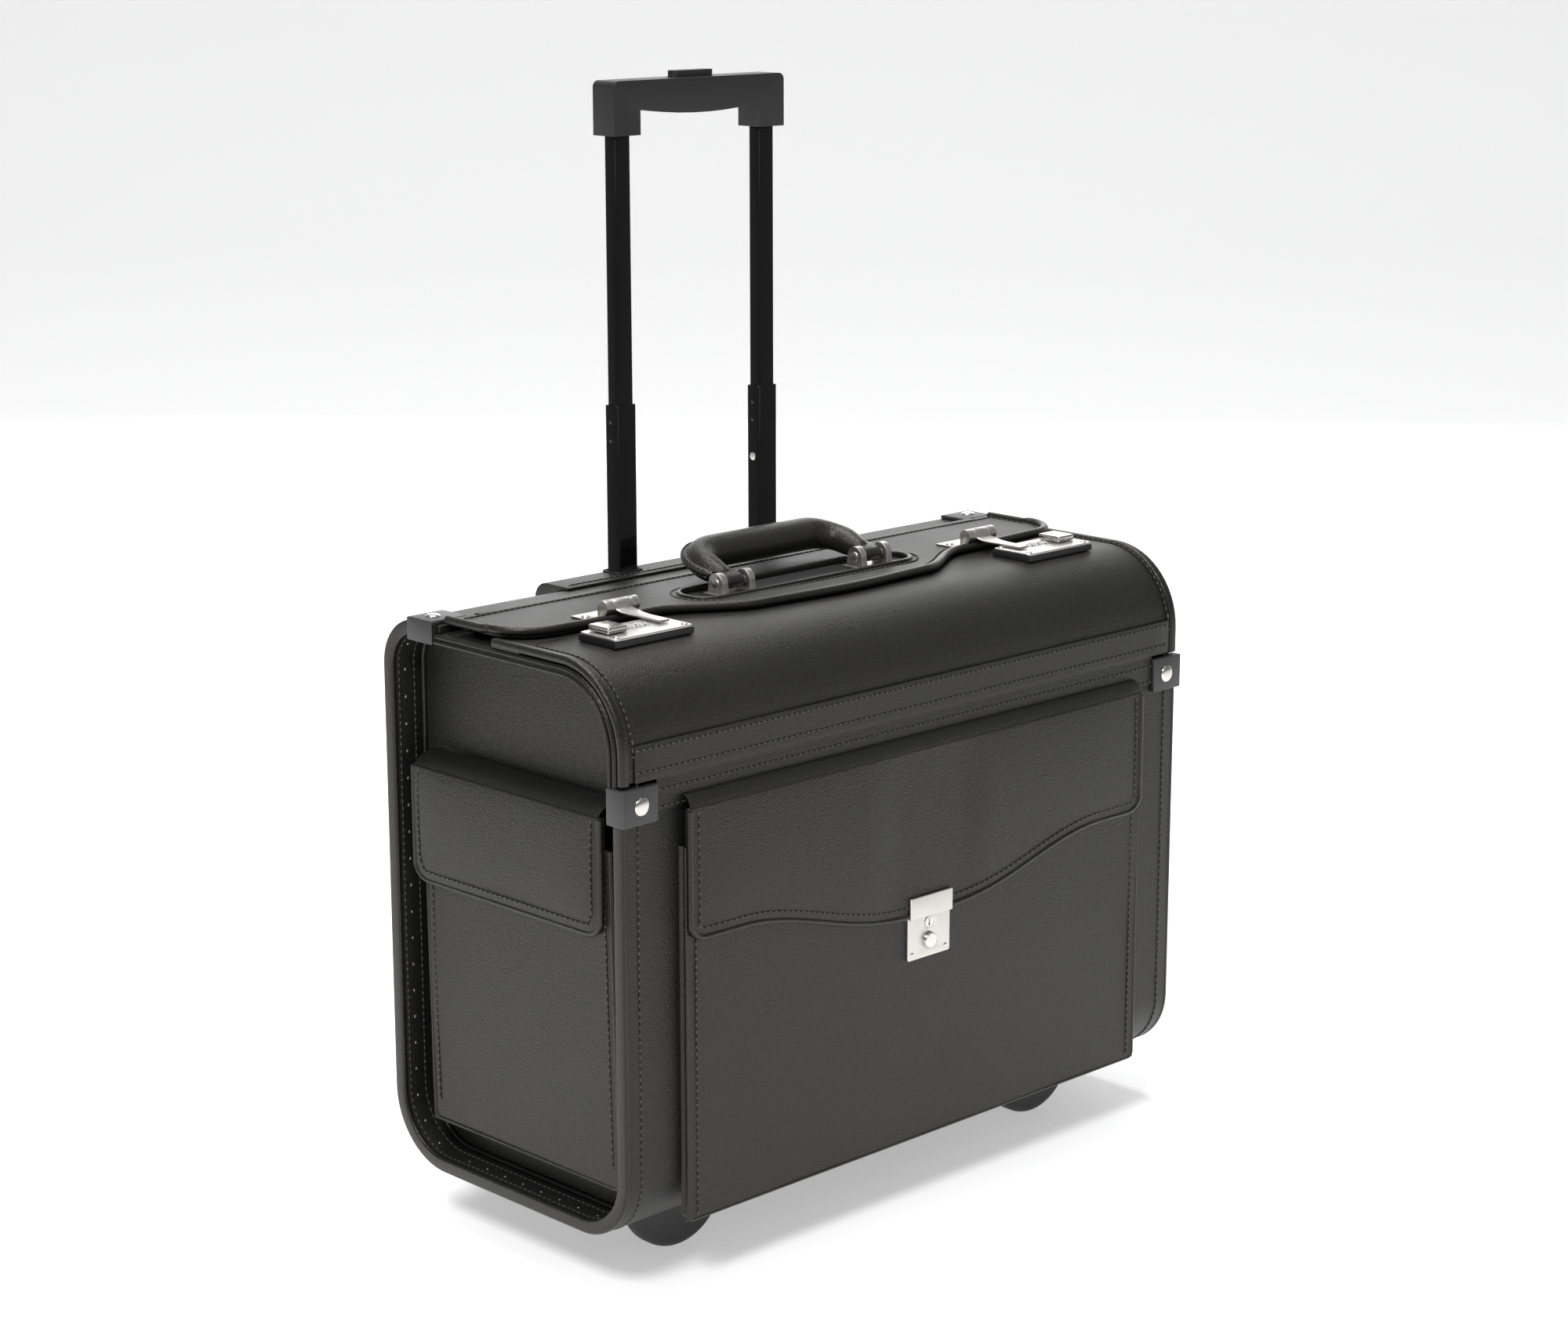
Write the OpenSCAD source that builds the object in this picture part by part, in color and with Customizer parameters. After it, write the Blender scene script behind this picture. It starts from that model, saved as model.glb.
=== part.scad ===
// Pilot rolling flight case with a two-stage trolley, combination locks and outside pockets.
// Millimetres. +Z up, X along the case, the front pocket faces -Y. The floor is z = 0.

/* [Case] */
// Length over the bound end edges
case_l = 460; // [380:1:560]
// Depth from the front wall to the rear wall
case_w = 203; // [195:1:250]
// Height of the shell
case_h = 325; // [320:1:400]
// Height of the shell's underside above the floor
floor_gap = 32; // [30:1:38]
// Thickness of the covered board
wall = 4.5; // [4.2:0.1:5]
// Thickness of the end frames' flange
flange_t = 3; // [2:0.1:4]
// Depth of the recess at each end
recess = 26; // [24:1:32]
// Thickness of the bound edge at each end
binding_t = 2; // [1:0.1:3]

/* [Corner radii] */
// Front bottom corner
front_r = 38; // [30:1:45]
// Rear bottom corner
rear_r = 43; // [35:1:45]
// Rear top corner
top_r = 29; // [24:1:29]
// Curve of the front lid
lid_r = 48; // [40:1:55]

/* [Lid and rear flap] */
// Height of the lid above its hinge line
lid_drop = 63; // [60:1:70]
// Distance of the flap's hinge line from the rear wall
flap_root = 50.5; // [48:0.5:52]
// Length of the flap, from its hinge line to its side front edge
flap_len = 66; // [64:1:70]
// How far the middle of the flap reaches beyond its sides
flap_bulge = 31; // [25:1:34]
// Thickness of the flap panel
flap_t = 3; // [2.5:0.1:3.5]
// Gap between pieces that move apart
gap = 0.3; // [0.3:0.05:0.5]

/* [Handle] */
// Distance between the middles of the two handle ends
handle_span = 114; // [100:1:124]
// Reach of the handle from its pins to the middle of its grip
handle_reach = 39; // [34:1:40]
// Radius of the padded grip
grip_r = 8; // [7:0.5:8.5]
// Lean of the stowed handle from upright, in degrees
handle_lean = 76; // [60:1:80]
// Radius of the handle pins
pin_r = 2; // [1.5:0.1:2.5]
// Half width of the slot in the flap
slot_r = 14; // [14:0.5:15]

/* [Locks] */
// Length of a combination lock
lock_l = 58; // [56:1:66]
// Width of a combination lock
lock_w = 30; // [28:1:32]
// Distance of a lock's middle from the case's middle
lock_x = 167.5; // [165:0.5:180]
// Radius of a number wheel
dial_r = 3.6; // [3.2:0.1:3.6]
// Width of a number wheel
dial_w = 4.4; // [4:0.1:4.8]

/* [Front pocket] */
// Half the width of the front pocket
pocket_x = 190; // [150:1:195]
// Depth of the front pocket
pocket_d = 6; // [6:0.5:10]
// Thickness of the pocket's cover
pocket_t = 1.2; // [1:0.1:1.5]
// Thickness of the front flap
front_flap_t = 2; // [1.5:0.1:2.5]

/* [Trolley] */
// Distance between the middles of the two trolley legs
tube_span = 116; // [100:1:124]
// Width of a middle tube
tube_w = 16; // [14:0.5:18]
// Depth of a middle tube
tube_d = 11; // [10:0.5:11]
// Thickness of a tube's wall
tube_t = 0.8; // [0.7:0.1:0.9]
// How far the middle tubes stand out of the cover
mid_out = 99; // [20:1:140]
// How far the inner tubes stand out of the middle tubes
inner_out = 157; // [20:1:200]
// Length of a middle tube
mid_l = 282; // [250:1:283]
// Length of an inner tube, up to the grip
inner_l = 283; // [270:1:284]

/* [Wheels and feet] */
// Radius of a wheel
wheel_r = 28; // [25:1:29]
// Width of a wheel
wheel_w = 22; // [18:1:24]
// Distance of a wheel's middle from the case's middle
wheel_x = 160; // [120:1:184]
// Radius of an axle
axle_r = 4; // [3:0.1:5]
// Radius of a front foot
foot_r = 36; // [34:1:40]
// Distance of a foot's middle from the case's middle
foot_x = 152; // [120:1:180]

/* [Hidden] */
$fn = 64;

run_fit = 0.05;
leather = "#26262a";
plastic = "#151517";
nickel = "#c4c2bd";

// Case faces
x_edge = case_l / 2;
x_shell = x_edge - binding_t;
x_panel = x_edge - recess;
y_front = -case_w / 2;
y_rear = case_w / 2;
z_bot = floor_gap;
z_top = floor_gap + case_h;
in_rim = wall + flange_t;

// Lid, flap and handle lines
z_hinge = z_top - lid_drop;
hinge_gap = 1.2;
y_hinge = y_rear - flap_root;
y_slot = y_hinge - 51;
y_lid_rear = y_hinge - 62;
y_lid_corner = y_hinge - 44;
y_handle = y_hinge - 55;
z_pin = z_top + 9;
plate_h = 1;
z_flap = z_top + 0.5;
z_flap_top = z_flap + flap_t;
z_foot = z_flap + plate_h;
roll_t = 4;
roll_w = 5;
flap_x = x_edge - 4;
flap_corner_r = 30;
slot_x = handle_span / 2 + 17;

// Locks, measured from a lock's outer end
y_lock = y_hinge - 96;
lock_base_h = 3.5;
plate_t = 1.5;
z_plate = z_top + lock_base_h;
z_plate_top = z_plate + plate_t;
y_dial = y_lock + 4;
z_dial = z_plate_top + 1.3 - dial_r;
dial_pitch = 6;
dial_from_end = 24.5;
dial_axle_r = 0.75;
slider_from_end = 11.7;
arm_from_end = 48;
hasp_x = lock_x + lock_l / 2 - arm_from_end;
y_barrel = y_hinge - 60;
barrel_r = 4.3;
barrel_w = 25;
knuckle_w = 13;
z_barrel = z_flap_top + 1.4 + barrel_r;
hasp_pin_r = 1.5;

// Front pocket and tuck lock
hasp_t = 1.7;
front_depth = pocket_d + gap + front_flap_t + hasp_t;
y_pocket = y_front - pocket_d;
y_front_flap = y_pocket - gap - front_flap_t;
z_pocket = z_bot + 7;
z_pocket_top = z_hinge - 40;
z_flap_peak = z_hinge - 17.5;
flap_drop = 77.5;
lock_plate_w = 35.5;
z_tuck = z_flap_peak - 101.5;
z_tuck_key = z_tuck - 4;
z_tuck_button = z_tuck - 15;
button_r = 4.75;
key_r = 3.4;

// Side pockets
side_face = x_edge - 6;
side_back = x_panel + flange_t;
side_flap_x = side_face + gap + 0.2;
side_flap_t = 2.3;
z_side_top = z_hinge - 40;
z_side_peak = z_hinge - 21.5;

// Trolley
tube_y = y_rear - 11.3;
tube_x = tube_span / 2;
outer_w = tube_w + 2 * gap + 1.8;
outer_d = tube_d + 2 * gap + 1.8;
inner_w = tube_w - 2 * tube_t - 2 * gap - 0.4;
inner_d = tube_d - 2 * tube_t - 2 * gap;
z_cover = z_top + 1.5;
z_mid = z_cover + 1.5 + mid_out;
z_grip = z_mid + 0.5 + inner_out;
leg_w = 20.5;
leg_h = 14.5;
grip_d = 18.6;
grip_x = tube_x + leg_w / 2;
bar_h = 17;
z_grip_top = z_grip + leg_h + bar_h;
button_travel = 4;
cover_x = tube_x + 57;
z_tube = z_bot + rear_r;
foot_h = 6;

// Wheels
y_wheel = case_w / 2 + front_depth - wheel_r;
well_gap = 2.5;
well_wall = 2.5;
well_w = wheel_w + 2.4;
housing_w = well_w + 2 * well_wall;

// Outline of the case seen from its end, drawn inset by d
module outline(d) {
    rf = front_r - d;
    rr = rear_r - d;
    rt = top_r - d;
    rl = lid_r - d;
    y0 = y_front + d;
    y1 = y_rear - d;
    z0 = z_bot + d;
    z1 = z_top - d;
    polygon([[y0, z0 + rf], [y0 + rf, z0], [y1 - rr, z0], [y1, z0 + rr],
        [y1, z1 - rt], [y1 - rt, z1], [y0 + rl, z1], [y0, z1 - rl]]);
    translate([y0 + rf, z0 + rf]) circle(rf);
    translate([y1 - rr, z0 + rr]) circle(rr);
    translate([y1 - rt, z1 - rt]) circle(rt);
    translate([y0 + rl, z1 - rl]) circle(rl);
}

module ring(d0, d1) {
    difference() {
        outline(d0);
        outline(d1);
    }
}

// Extrude a profile in Y and Z along X
module along_x(x0, x1) {
    translate([x0, 0, 0]) rotate([90, 0, 90]) linear_extrude(x1 - x0) children();
}

// Extrude a profile in X and Z along Y, from y0 to y1
module along_y(y0, y1) {
    translate([0, y1, 0]) rotate([90, 0, 0]) linear_extrude(y1 - y0) children();
}

module both_ends() {
    children();
    mirror([1, 0, 0]) children();
}

module block(x0, x1, y0, y1, z0, z1) {
    translate([x0, y0, z0]) cube([x1 - x0, y1 - y0, z1 - z0]);
}

module area(a0, a1, b0, b1) {
    translate([a0, b0]) square([a1 - a0, b1 - b0]);
}

module x_rod(x0, x1, y, z, r) {
    translate([x0, y, z]) rotate([0, 90, 0]) cylinder(r = r, h = x1 - x0);
}

module y_rod(x, y0, y1, z, r) {
    translate([x, y0, z]) rotate([-90, 0, 0]) cylinder(r = r, h = y1 - y0);
}

module stadium(x, r) {
    square([2 * x, 2 * r], center = true);
    for (s = [-1, 1]) translate([s * x, 0]) circle(r);
}

module rounded_area(a0, a1, b0, b1, r) {
    area(a0 + r, a1 - r, b0, b1);
    area(a0, a1, b0 + r, b1 - r);
    for (a = [a0 + r, a1 - r], b = [b0 + r, b1 - r]) translate([a, b]) circle(r);
}

// ---- Shell ----

module wheel_wells(r, w) {
    for (s = [-1, 1]) x_rod(s * wheel_x - w / 2, s * wheel_x + w / 2, y_wheel, wheel_r, r);
}

module tube_holes(w, d, z0, z1) {
    for (s = [-1, 1]) {
        block(s * tube_x - w / 2, s * tube_x + w / 2, tube_y - d / 2, tube_y + d / 2, z0, z1);
    }
}

module front_wall() {
    color(leather) difference() {
        along_x(-x_shell, x_shell) intersection() {
            ring(0, wall);
            area(y_front, y_front + front_r, z_bot, z_hinge - hinge_gap);
        }
        y_rod(0, y_front - 1, y_front + wall + 1, z_tuck_button, button_r + 1);
    }
}

module base_panel() {
    color(leather) difference() {
        block(-x_shell, x_shell, y_front + front_r, y_rear - rear_r, z_bot, z_bot + wall);
        wheel_wells(wheel_r + well_gap + well_wall, housing_w);
    }
}

module rear_wall() {
    color(leather) difference() {
        along_x(-x_shell, x_shell) intersection() {
            ring(0, wall);
            union() {
                area(y_rear - rear_r, y_rear, z_bot, z_top);
                area(y_hinge + gap, y_rear, z_top - top_r, z_top);
            }
        }
        wheel_wells(wheel_r + well_gap + well_wall, housing_w);
        tube_holes(outer_w, outer_d, z_tube, z_top + 1);
    }
}

module end_rims() {
    color(leather) both_ends() along_x(x_panel, x_shell) ring(wall, in_rim);
}

module end_panels() {
    color(leather) both_ends() along_x(x_panel, x_panel + flange_t) outline(in_rim);
}

module edge_bindings() {
    color(leather) both_ends() along_x(x_shell, x_edge) difference() {
        ring(0, in_rim + 0.5);
        intersection() {
            outline(-1);
            outline_gap_mask();
        }
    }
}

// Where the lid lies over the end frames
module outline_gap_mask() {
    difference() {
        area(y_front - 2, y_hinge + 2.5, z_hinge - hinge_gap, z_top + 2);
        outline(wall);
    }
}

module corner_clamps() {
    clamp_t = 3;
    side_t = 1.5;
    clamp_w = 24;
    clamp_h = 20.8;
    clamp_z = z_hinge - 1.5 - clamp_h;
    clamp_y = y_rear - 46.5;
    color(plastic) both_ends() {
        block(x_edge - clamp_w, x_edge + side_t, y_front - clamp_t, y_front, clamp_z, clamp_z + clamp_h);
        block(x_edge, x_edge + side_t, y_front, y_front + 11, clamp_z, clamp_z + clamp_h);
        along_x(x_edge - clamp_w, x_edge + side_t) intersection() {
            ring(-2.5, 0);
            area(clamp_y, clamp_y + 22, z_top - 11, z_top + 3);
        }
        along_x(x_edge, x_edge + side_t) intersection() {
            outline(0);
            area(clamp_y, clamp_y + 22, z_top - 11, z_top + 3);
        }
    }
}

module rivet(r, h) {
    cylinder(r = r, h = h * 0.5);
    translate([0, 0, h * 0.5]) cylinder(r1 = r, r2 = r * 0.6, h = h * 0.5);
}

module clamp_rivets() {
    color(nickel) both_ends() {
        translate([x_edge - 12, y_front - 3, z_hinge - 12]) rotate([90, 0, 0]) rivet(5.5, 2);
        translate([x_edge - 9, y_rear - 35, z_top + 2.5]) rivet(4.5, 1.6);
    }
}

module rim_nails() {
    pitch = 16;
    nail_r = 1.2;
    nail_h = 0.6;
    nail_x = x_edge - 10;
    y_first = y_front + front_r + 2;
    y_last = y_rear - rear_r - 2;
    z_first = z_bot + rear_r + 2;
    z_last = z_top - top_r - 2;
    z_front = z_bot + front_r + 2;
    color(nickel) both_ends() {
        for (y = [y_first : pitch : y_last]) {
            translate([nail_x, y, z_bot + in_rim]) cylinder(r = nail_r, h = nail_h);
        }
        for (z = [z_first : pitch : z_last]) {
            y_rod(nail_x, y_rear - in_rim - nail_h, y_rear - in_rim, z, nail_r);
        }
        for (z = [z_front : pitch : z_hinge - 30]) {
            y_rod(nail_x, y_front + in_rim, y_front + in_rim + nail_h, z, nail_r);
        }
    }
}

module hinge_band() {
    color(leather) block(24.3 - x_edge, x_edge - 24.3, y_front - 1, y_front, z_hinge - 17, z_hinge - hinge_gap);
}

// ---- Carry handle, standing on the flap ----

module handle_plate() {
    color(nickel) translate([0, 0, z_flap]) linear_extrude(plate_h) slot(slot_r);
}

module handle_brackets() {
    post_t = 4.5;
    tab_w = 14;
    post_in = tab_w / 2 + 1.5;
    foot_t = 1.5;
    color(nickel) for (s = [-1, 1]) translate([s * handle_span / 2, 0, 0]) difference() {
        union() {
            block(-post_in - 6, post_in + 6, y_handle - 8, y_handle + 9, z_foot, z_foot + foot_t);
            for (x0 = [-post_in - post_t, post_in]) {
                along_x(x0, x0 + post_t) {
                    translate([y_handle, z_pin]) circle(6);
                    polygon([[y_handle - 7, z_foot], [y_handle + 7, z_foot],
                        [y_handle + 5.8, z_pin + 1], [y_handle - 5.8, z_pin + 1]]);
                }
            }
        }
        x_rod(-20, 20, y_handle, z_pin, pin_r + run_fit);
    }
}

module handle_pins() {
    color(nickel) for (s = [-1, 1]) {
        x_rod(s * handle_span / 2 - 13, s * handle_span / 2 + 13, y_handle, z_pin, pin_r);
    }
}

module handle_grip() {
    bend_r = 20;
    leg_top = handle_reach - bend_r;
    leg_x = handle_span / 2;
    tab_t = 7;
    color(leather) translate([0, y_handle, z_pin]) rotate([-handle_lean, 0, 0]) difference() {
        union() {
            for (s = [-1, 1]) {
                translate([s * leg_x, 0, 9]) cylinder(r = 7, h = leg_top - 9);
                translate([s * leg_x, 0, 0]) {
                    translate([-7, -tab_t / 2, 0]) cube([14, tab_t, 12]);
                    rotate([0, 90, 0]) cylinder(r = tab_t / 2 + 0.6, h = 14, center = true);
                }
            }
            both_ends() translate([leg_x - bend_r, 0, leg_top]) rotate([90, 0, 0])
                rotate_extrude(angle = 90) translate([bend_r, 0]) circle(grip_r);
            x_rod(bend_r - leg_x, leg_x - bend_r, 0, handle_reach, grip_r);
        }
        x_rod(-leg_x - 20, leg_x + 20, 0, 0, pin_r + run_fit);
    }
}

// ---- Front pocket ----

module front_pocket() {
    back_top = z_bot + front_r + 5;
    color(leather) difference() {
        along_y(y_pocket, y_front) rounded_area(-pocket_x, pocket_x, z_pocket, z_pocket_top, 3);
        block(-pocket_x + pocket_t, pocket_x - pocket_t, y_pocket + pocket_t, y_front + 1,
            back_top, z_pocket_top + 1);
        block(-pocket_x + pocket_t, pocket_x - pocket_t, y_pocket + pocket_t, y_front - pocket_t,
            z_pocket + 3, back_top + 1);
        y_rod(0, y_pocket - 1, y_pocket + pocket_t + 1, z_tuck_button, button_r + run_fit);
        y_rod(0, y_pocket - 1, y_pocket + pocket_t + 1, z_tuck_key, key_r + run_fit);
    }
}

module flap_roots() {
    root_y = y_front - pocket_d + 0.3;
    color(leather) {
        along_x(1 - pocket_x, pocket_x - 1) polygon([[y_front, z_flap_peak - 14],
            [y_front, z_flap_peak - 11], [root_y, z_flap_peak - 1.5], [root_y, z_flap_peak - 5]]);
        both_ends() block(side_back, side_face - 1, y_front + 21.5, y_rear - 19.5,
            z_side_peak - 3, z_side_peak - 0.8);
    }
}

// Lower edge of the front flap, falling in an ogee to the lock
function ease(t) = t * t * (3 - 2 * t);
function ogee(x) = 23.5 * ease(min(1, max(0, (150 - abs(x)) / 125))) + 1.5 * ease(max(0, 1 - abs(x) / 45));

module front_flap() {
    half = pocket_x - 1;
    z_low = z_flap_peak - flap_drop + 2;
    corner = 12;
    notch = lock_plate_w / 2 + gap;
    edge = [for (x = [-half + corner : 6 : half - corner]) [x, z_low - ogee(x)]];
    bend = [for (a = [0 : 15 : 75]) [half - corner + corner * cos(a), z_low + corner - corner * sin(a)]];
    color(leather) along_y(y_front_flap, y_front_flap + front_flap_t) difference() {
        polygon(concat([for (i = [0 : len(bend) - 1]) [-bend[i][0], bend[i][1]]], edge,
            [[half - corner, z_low]],
            [for (i = [len(bend) - 1 : -1 : 0]) bend[i]],
            [[half, z_flap_peak - gap], [-half, z_flap_peak - gap]]));
        area(-notch, notch, z_tuck - 20, z_tuck + 5);
    }
}

module tuck_hasp() {
    hasp_h = 13.5;
    color(nickel) {
        along_y(y_front_flap - hasp_t, y_front_flap)
            rounded_area(-lock_plate_w / 2, lock_plate_w / 2, z_tuck, z_tuck + hasp_h, 1);
        block(-5, 5, y_front_flap, y_pocket - gap, z_tuck + 1, z_tuck + 4);
    }
}

module tuck_lock_plate() {
    tuck_plate_t = 1.5;
    color(nickel) difference() {
        along_y(y_pocket - tuck_plate_t, y_pocket)
            rounded_area(-lock_plate_w / 2, lock_plate_w / 2, z_tuck - 25, z_tuck + 4, 1.5);
        block(-5.5, 5.5, y_pocket - 3, y_pocket + 1, z_tuck + 0.4, z_tuck + 5);
        y_rod(0, y_pocket - 3, y_pocket + 1, z_tuck_button, button_r + run_fit);
        y_rod(0, y_pocket - 3, y_pocket + 1, z_tuck_key, key_r + run_fit);
    }
}

module tuck_button() {
    color(nickel) {
        y_rod(0, y_front - front_depth + 0.2, y_pocket + pocket_t, z_tuck_button, button_r);
    }
}

module key_barrel() {
    color(nickel) difference() {
        y_rod(0, y_pocket - 1.9, y_pocket + pocket_t, z_tuck_key, key_r);
        block(-0.5, 0.5, y_pocket - 2, y_pocket - 0.9, z_tuck_key - 2.2, z_tuck_key + 2.2);
    }
}

// ---- Side pockets ----

module side_pockets() {
    face = [[y_front + 10.5, z_bot + 28], [y_rear - 28, z_bot + 28],
        [y_rear - 25, z_side_top], [y_front + 15.5, z_side_top]];
    cavity = [[y_front + 12.5, z_bot + 31], [y_rear - 30, z_bot + 31],
        [y_rear - 27, z_side_top + 1], [y_front + 17.5, z_side_top + 1]];
    color(leather) both_ends() difference() {
        along_x(side_back, side_face) polygon(face);
        along_x(side_back + 1.5, side_face - 2) polygon(cavity);
    }
}

module side_flap() {
    color(leather) along_x(side_flap_x, side_flap_x + side_flap_t) difference() {
        rounded_area(y_front + 21.5, y_rear - 19.5, z_side_peak - 68, z_side_peak + 8, 12);
        area(y_front, y_rear, z_side_peak - gap, z_side_peak + 20);
    }
}

module left_side_flap() {
    mirror([1, 0, 0]) side_flap();
}

module right_side_flap() {
    side_flap();
}

// ---- Lid ----

module lid_profile(d0, d1) {
    intersection() {
        ring(d0, d1);
        area(y_front - 2, y_lid_corner, z_hinge + hinge_gap, z_top + 2);
    }
}

lid_t = wall - gap;
window_l = 3 * dial_pitch + 6;
window_w = 11;

module at_locks() {
    for (s = [-1, 1]) translate([s * (lock_x + lock_l / 2), 0, 0]) scale_x(-s) children();
}

module scale_x(s) {
    if (s < 0) mirror([1, 0, 0]) children();
    else children();
}

module lock_window() {
    x0 = dial_from_end + dial_pitch - window_l / 2;
    block(x0, x0 + window_l, y_dial - window_w / 2, y_dial + window_w / 2, z_top - wall - 1, z_top + 1);
}

// Plan of the lid: its rear edge lies under the flap, its corners run on beside the flap
module lid_plan() {
    end_r = 8;
    difference() {
        area(-x_edge, x_edge, y_front - 2, y_lid_corner);
        intersection() {
            polygon(flap_points(-gap));
            area(-x_edge, x_edge, y_lid_rear, y_lid_corner + 1);
        }
        both_ends() difference() {
            area(x_edge - end_r, x_edge + 1, y_lid_corner - end_r, y_lid_corner + 1);
            translate([x_edge - end_r, y_lid_corner - end_r]) circle(end_r);
        }
    }
}

module lid_shell() {
    color(leather) difference() {
        intersection() {
            along_x(-x_shell, x_shell) lid_profile(0, lid_t);
            linear_extrude(z_top + 1) lid_plan();
        }
        at_locks() lock_window();
    }
}

module lid_bindings() {
    color(leather) both_ends() intersection() {
        along_x(x_shell, x_edge) lid_profile(0, lid_t);
        linear_extrude(z_top + 1) lid_plan();
    }
}

module lid_band() {
    color(leather) block(24.3 - x_edge, x_edge - 24.3, y_front - 1, y_front - 0.01,
        z_hinge + hinge_gap, z_top - lid_r + 6);
}

// ---- Combination locks ----

module lock_bases() {
    x0 = dial_from_end + dial_pitch - window_l / 2;
    cavity_x = dial_from_end - dial_pitch / 2;
    cavity_l = 3 * dial_pitch;
    color(plastic) at_locks() difference() {
        union() {
            block(0, lock_l, y_lock - lock_w / 2, y_lock + lock_w / 2, z_top, z_plate);
            block(x0, x0 + window_l, y_dial - window_w / 2, y_dial + window_w / 2, z_top - lid_t, z_top);
        }
        block(cavity_x, cavity_x + cavity_l, y_dial - 4, y_dial + 4, z_dial - dial_r - 0.5, z_plate + 1);
        block(slider_from_end - 7, slider_from_end + 4, y_dial - 2.3, y_dial + 2.3, z_top + 1, z_plate + 1);
        x_rod(cavity_x - 1, cavity_x + cavity_l + 1, y_dial, z_dial, dial_axle_r);
    }
}

module lock_plates() {
    color(nickel) at_locks() difference() {
        translate([0, 0, z_plate]) linear_extrude(plate_t)
            rounded_area(0, lock_l, y_lock - lock_w / 2, y_lock + lock_w / 2, 3);
        for (i = [0 : 2]) {
            x = dial_from_end + i * dial_pitch;
            block(x - dial_w / 2 - 0.3, x + dial_w / 2 + 0.3, y_dial - 4, y_dial + 4,
                z_plate - 1, z_plate_top + 1);
        }
        block(slider_from_end - 7, slider_from_end + 4, y_dial - 2.3, y_dial + 2.3,
            z_plate - 1, z_plate_top + 1);
    }
}

module lock_rivets() {
    color(nickel) at_locks() for (y = [-1, 1]) {
        translate([lock_l - 4, y_lock + y * (lock_w / 2 - 3.5), z_plate_top]) rivet(1.7, 0.9);
        if (y < 0) translate([4, y_lock - lock_w / 2 + 3.5, z_plate_top]) rivet(1.7, 0.9);
    }
}

module dial_axles() {
    x0 = dial_from_end - dial_pitch / 2 - 1;
    color(nickel) at_locks() x_rod(x0, x0 + 3 * dial_pitch + 2, y_dial, z_dial, dial_axle_r);
}

// A number wheel with ten finger notches
module dial(side, i) {
    x = side * (lock_x + lock_l / 2 - dial_from_end - i * dial_pitch);
    color(nickel) difference() {
        x_rod(x - dial_w / 2, x + dial_w / 2, y_dial, z_dial, dial_r);
        x_rod(x - dial_w, x + dial_w, y_dial, z_dial, dial_axle_r + run_fit);
        for (a = [0 : 36 : 324]) translate([x, y_dial, z_dial]) rotate([a, 0, 0])
            translate([-dial_w, -0.25, dial_r - 0.3]) cube([2 * dial_w, 0.5, 1]);
    }
}

module left_dial_1() { dial(-1, 0); }
module left_dial_2() { dial(-1, 1); }
module left_dial_3() { dial(-1, 2); }
module right_dial_1() { dial(1, 0); }
module right_dial_2() { dial(1, 1); }
module right_dial_3() { dial(1, 2); }

module slider(side) {
    x = side * (lock_x + lock_l / 2 - slider_from_end);
    cap_x = 7.25;
    cap_y = 8.5;
    color(nickel) {
        translate([0, 0, z_plate_top + gap]) linear_extrude(3.7)
            rounded_area(x - cap_x, x + cap_x, y_dial - cap_y, y_dial + cap_y, 1.2);
        block(x - 2, x + 2, y_dial - 2, y_dial + 2, z_top + 1.5, z_plate_top + gap);
    }
}

module left_slider() { slider(-1); }
module right_slider() { slider(1); }

// ---- Rear flap ----

// Front edge of the flap: straight at the sides, bulging forward in an ogee
function flap_edge(x) = y_hinge - flap_len
    - (flap_bulge - 5) * ease(min(1, max(0, (128 - abs(x)) / 60)))
    - 5 * ease(max(0, 1 - abs(x) / 95));

function flap_corner(side, d) = [for (a = [0 : 10 : 90])
    [side * (flap_x - flap_corner_r + (flap_corner_r - d) * cos(a)),
        y_hinge - flap_len + flap_corner_r - (flap_corner_r - d) * sin(a)]];

function reversed(v) = [for (i = [len(v) - 1 : -1 : 0]) v[i]];

function flap_points(d) = concat(
    [[flap_x - d, y_hinge - gap]],
    flap_corner(1, d),
    reversed([for (x = [-140 : 5 : 140]) [x, flap_edge(x) + d]]),
    reversed(flap_corner(-1, d)),
    [[d - flap_x, y_hinge - gap]]);

module slot(r) {
    translate([0, y_slot]) stadium(slot_x, r);
}

module flap_panel() {
    color(leather) translate([0, 0, z_flap]) linear_extrude(flap_t) difference() {
        polygon(flap_points(roll_w));
        slot(slot_r + 3);
    }
}

module flap_binding() {
    color(leather) translate([0, 0, z_flap]) {
        linear_extrude(roll_t) difference() {
            polygon(flap_points(0));
            polygon(flap_points(roll_w));
        }
        linear_extrude(flap_t + 1.5) difference() {
            slot(slot_r + 3);
            slot(slot_r);
        }
    }
}

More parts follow.
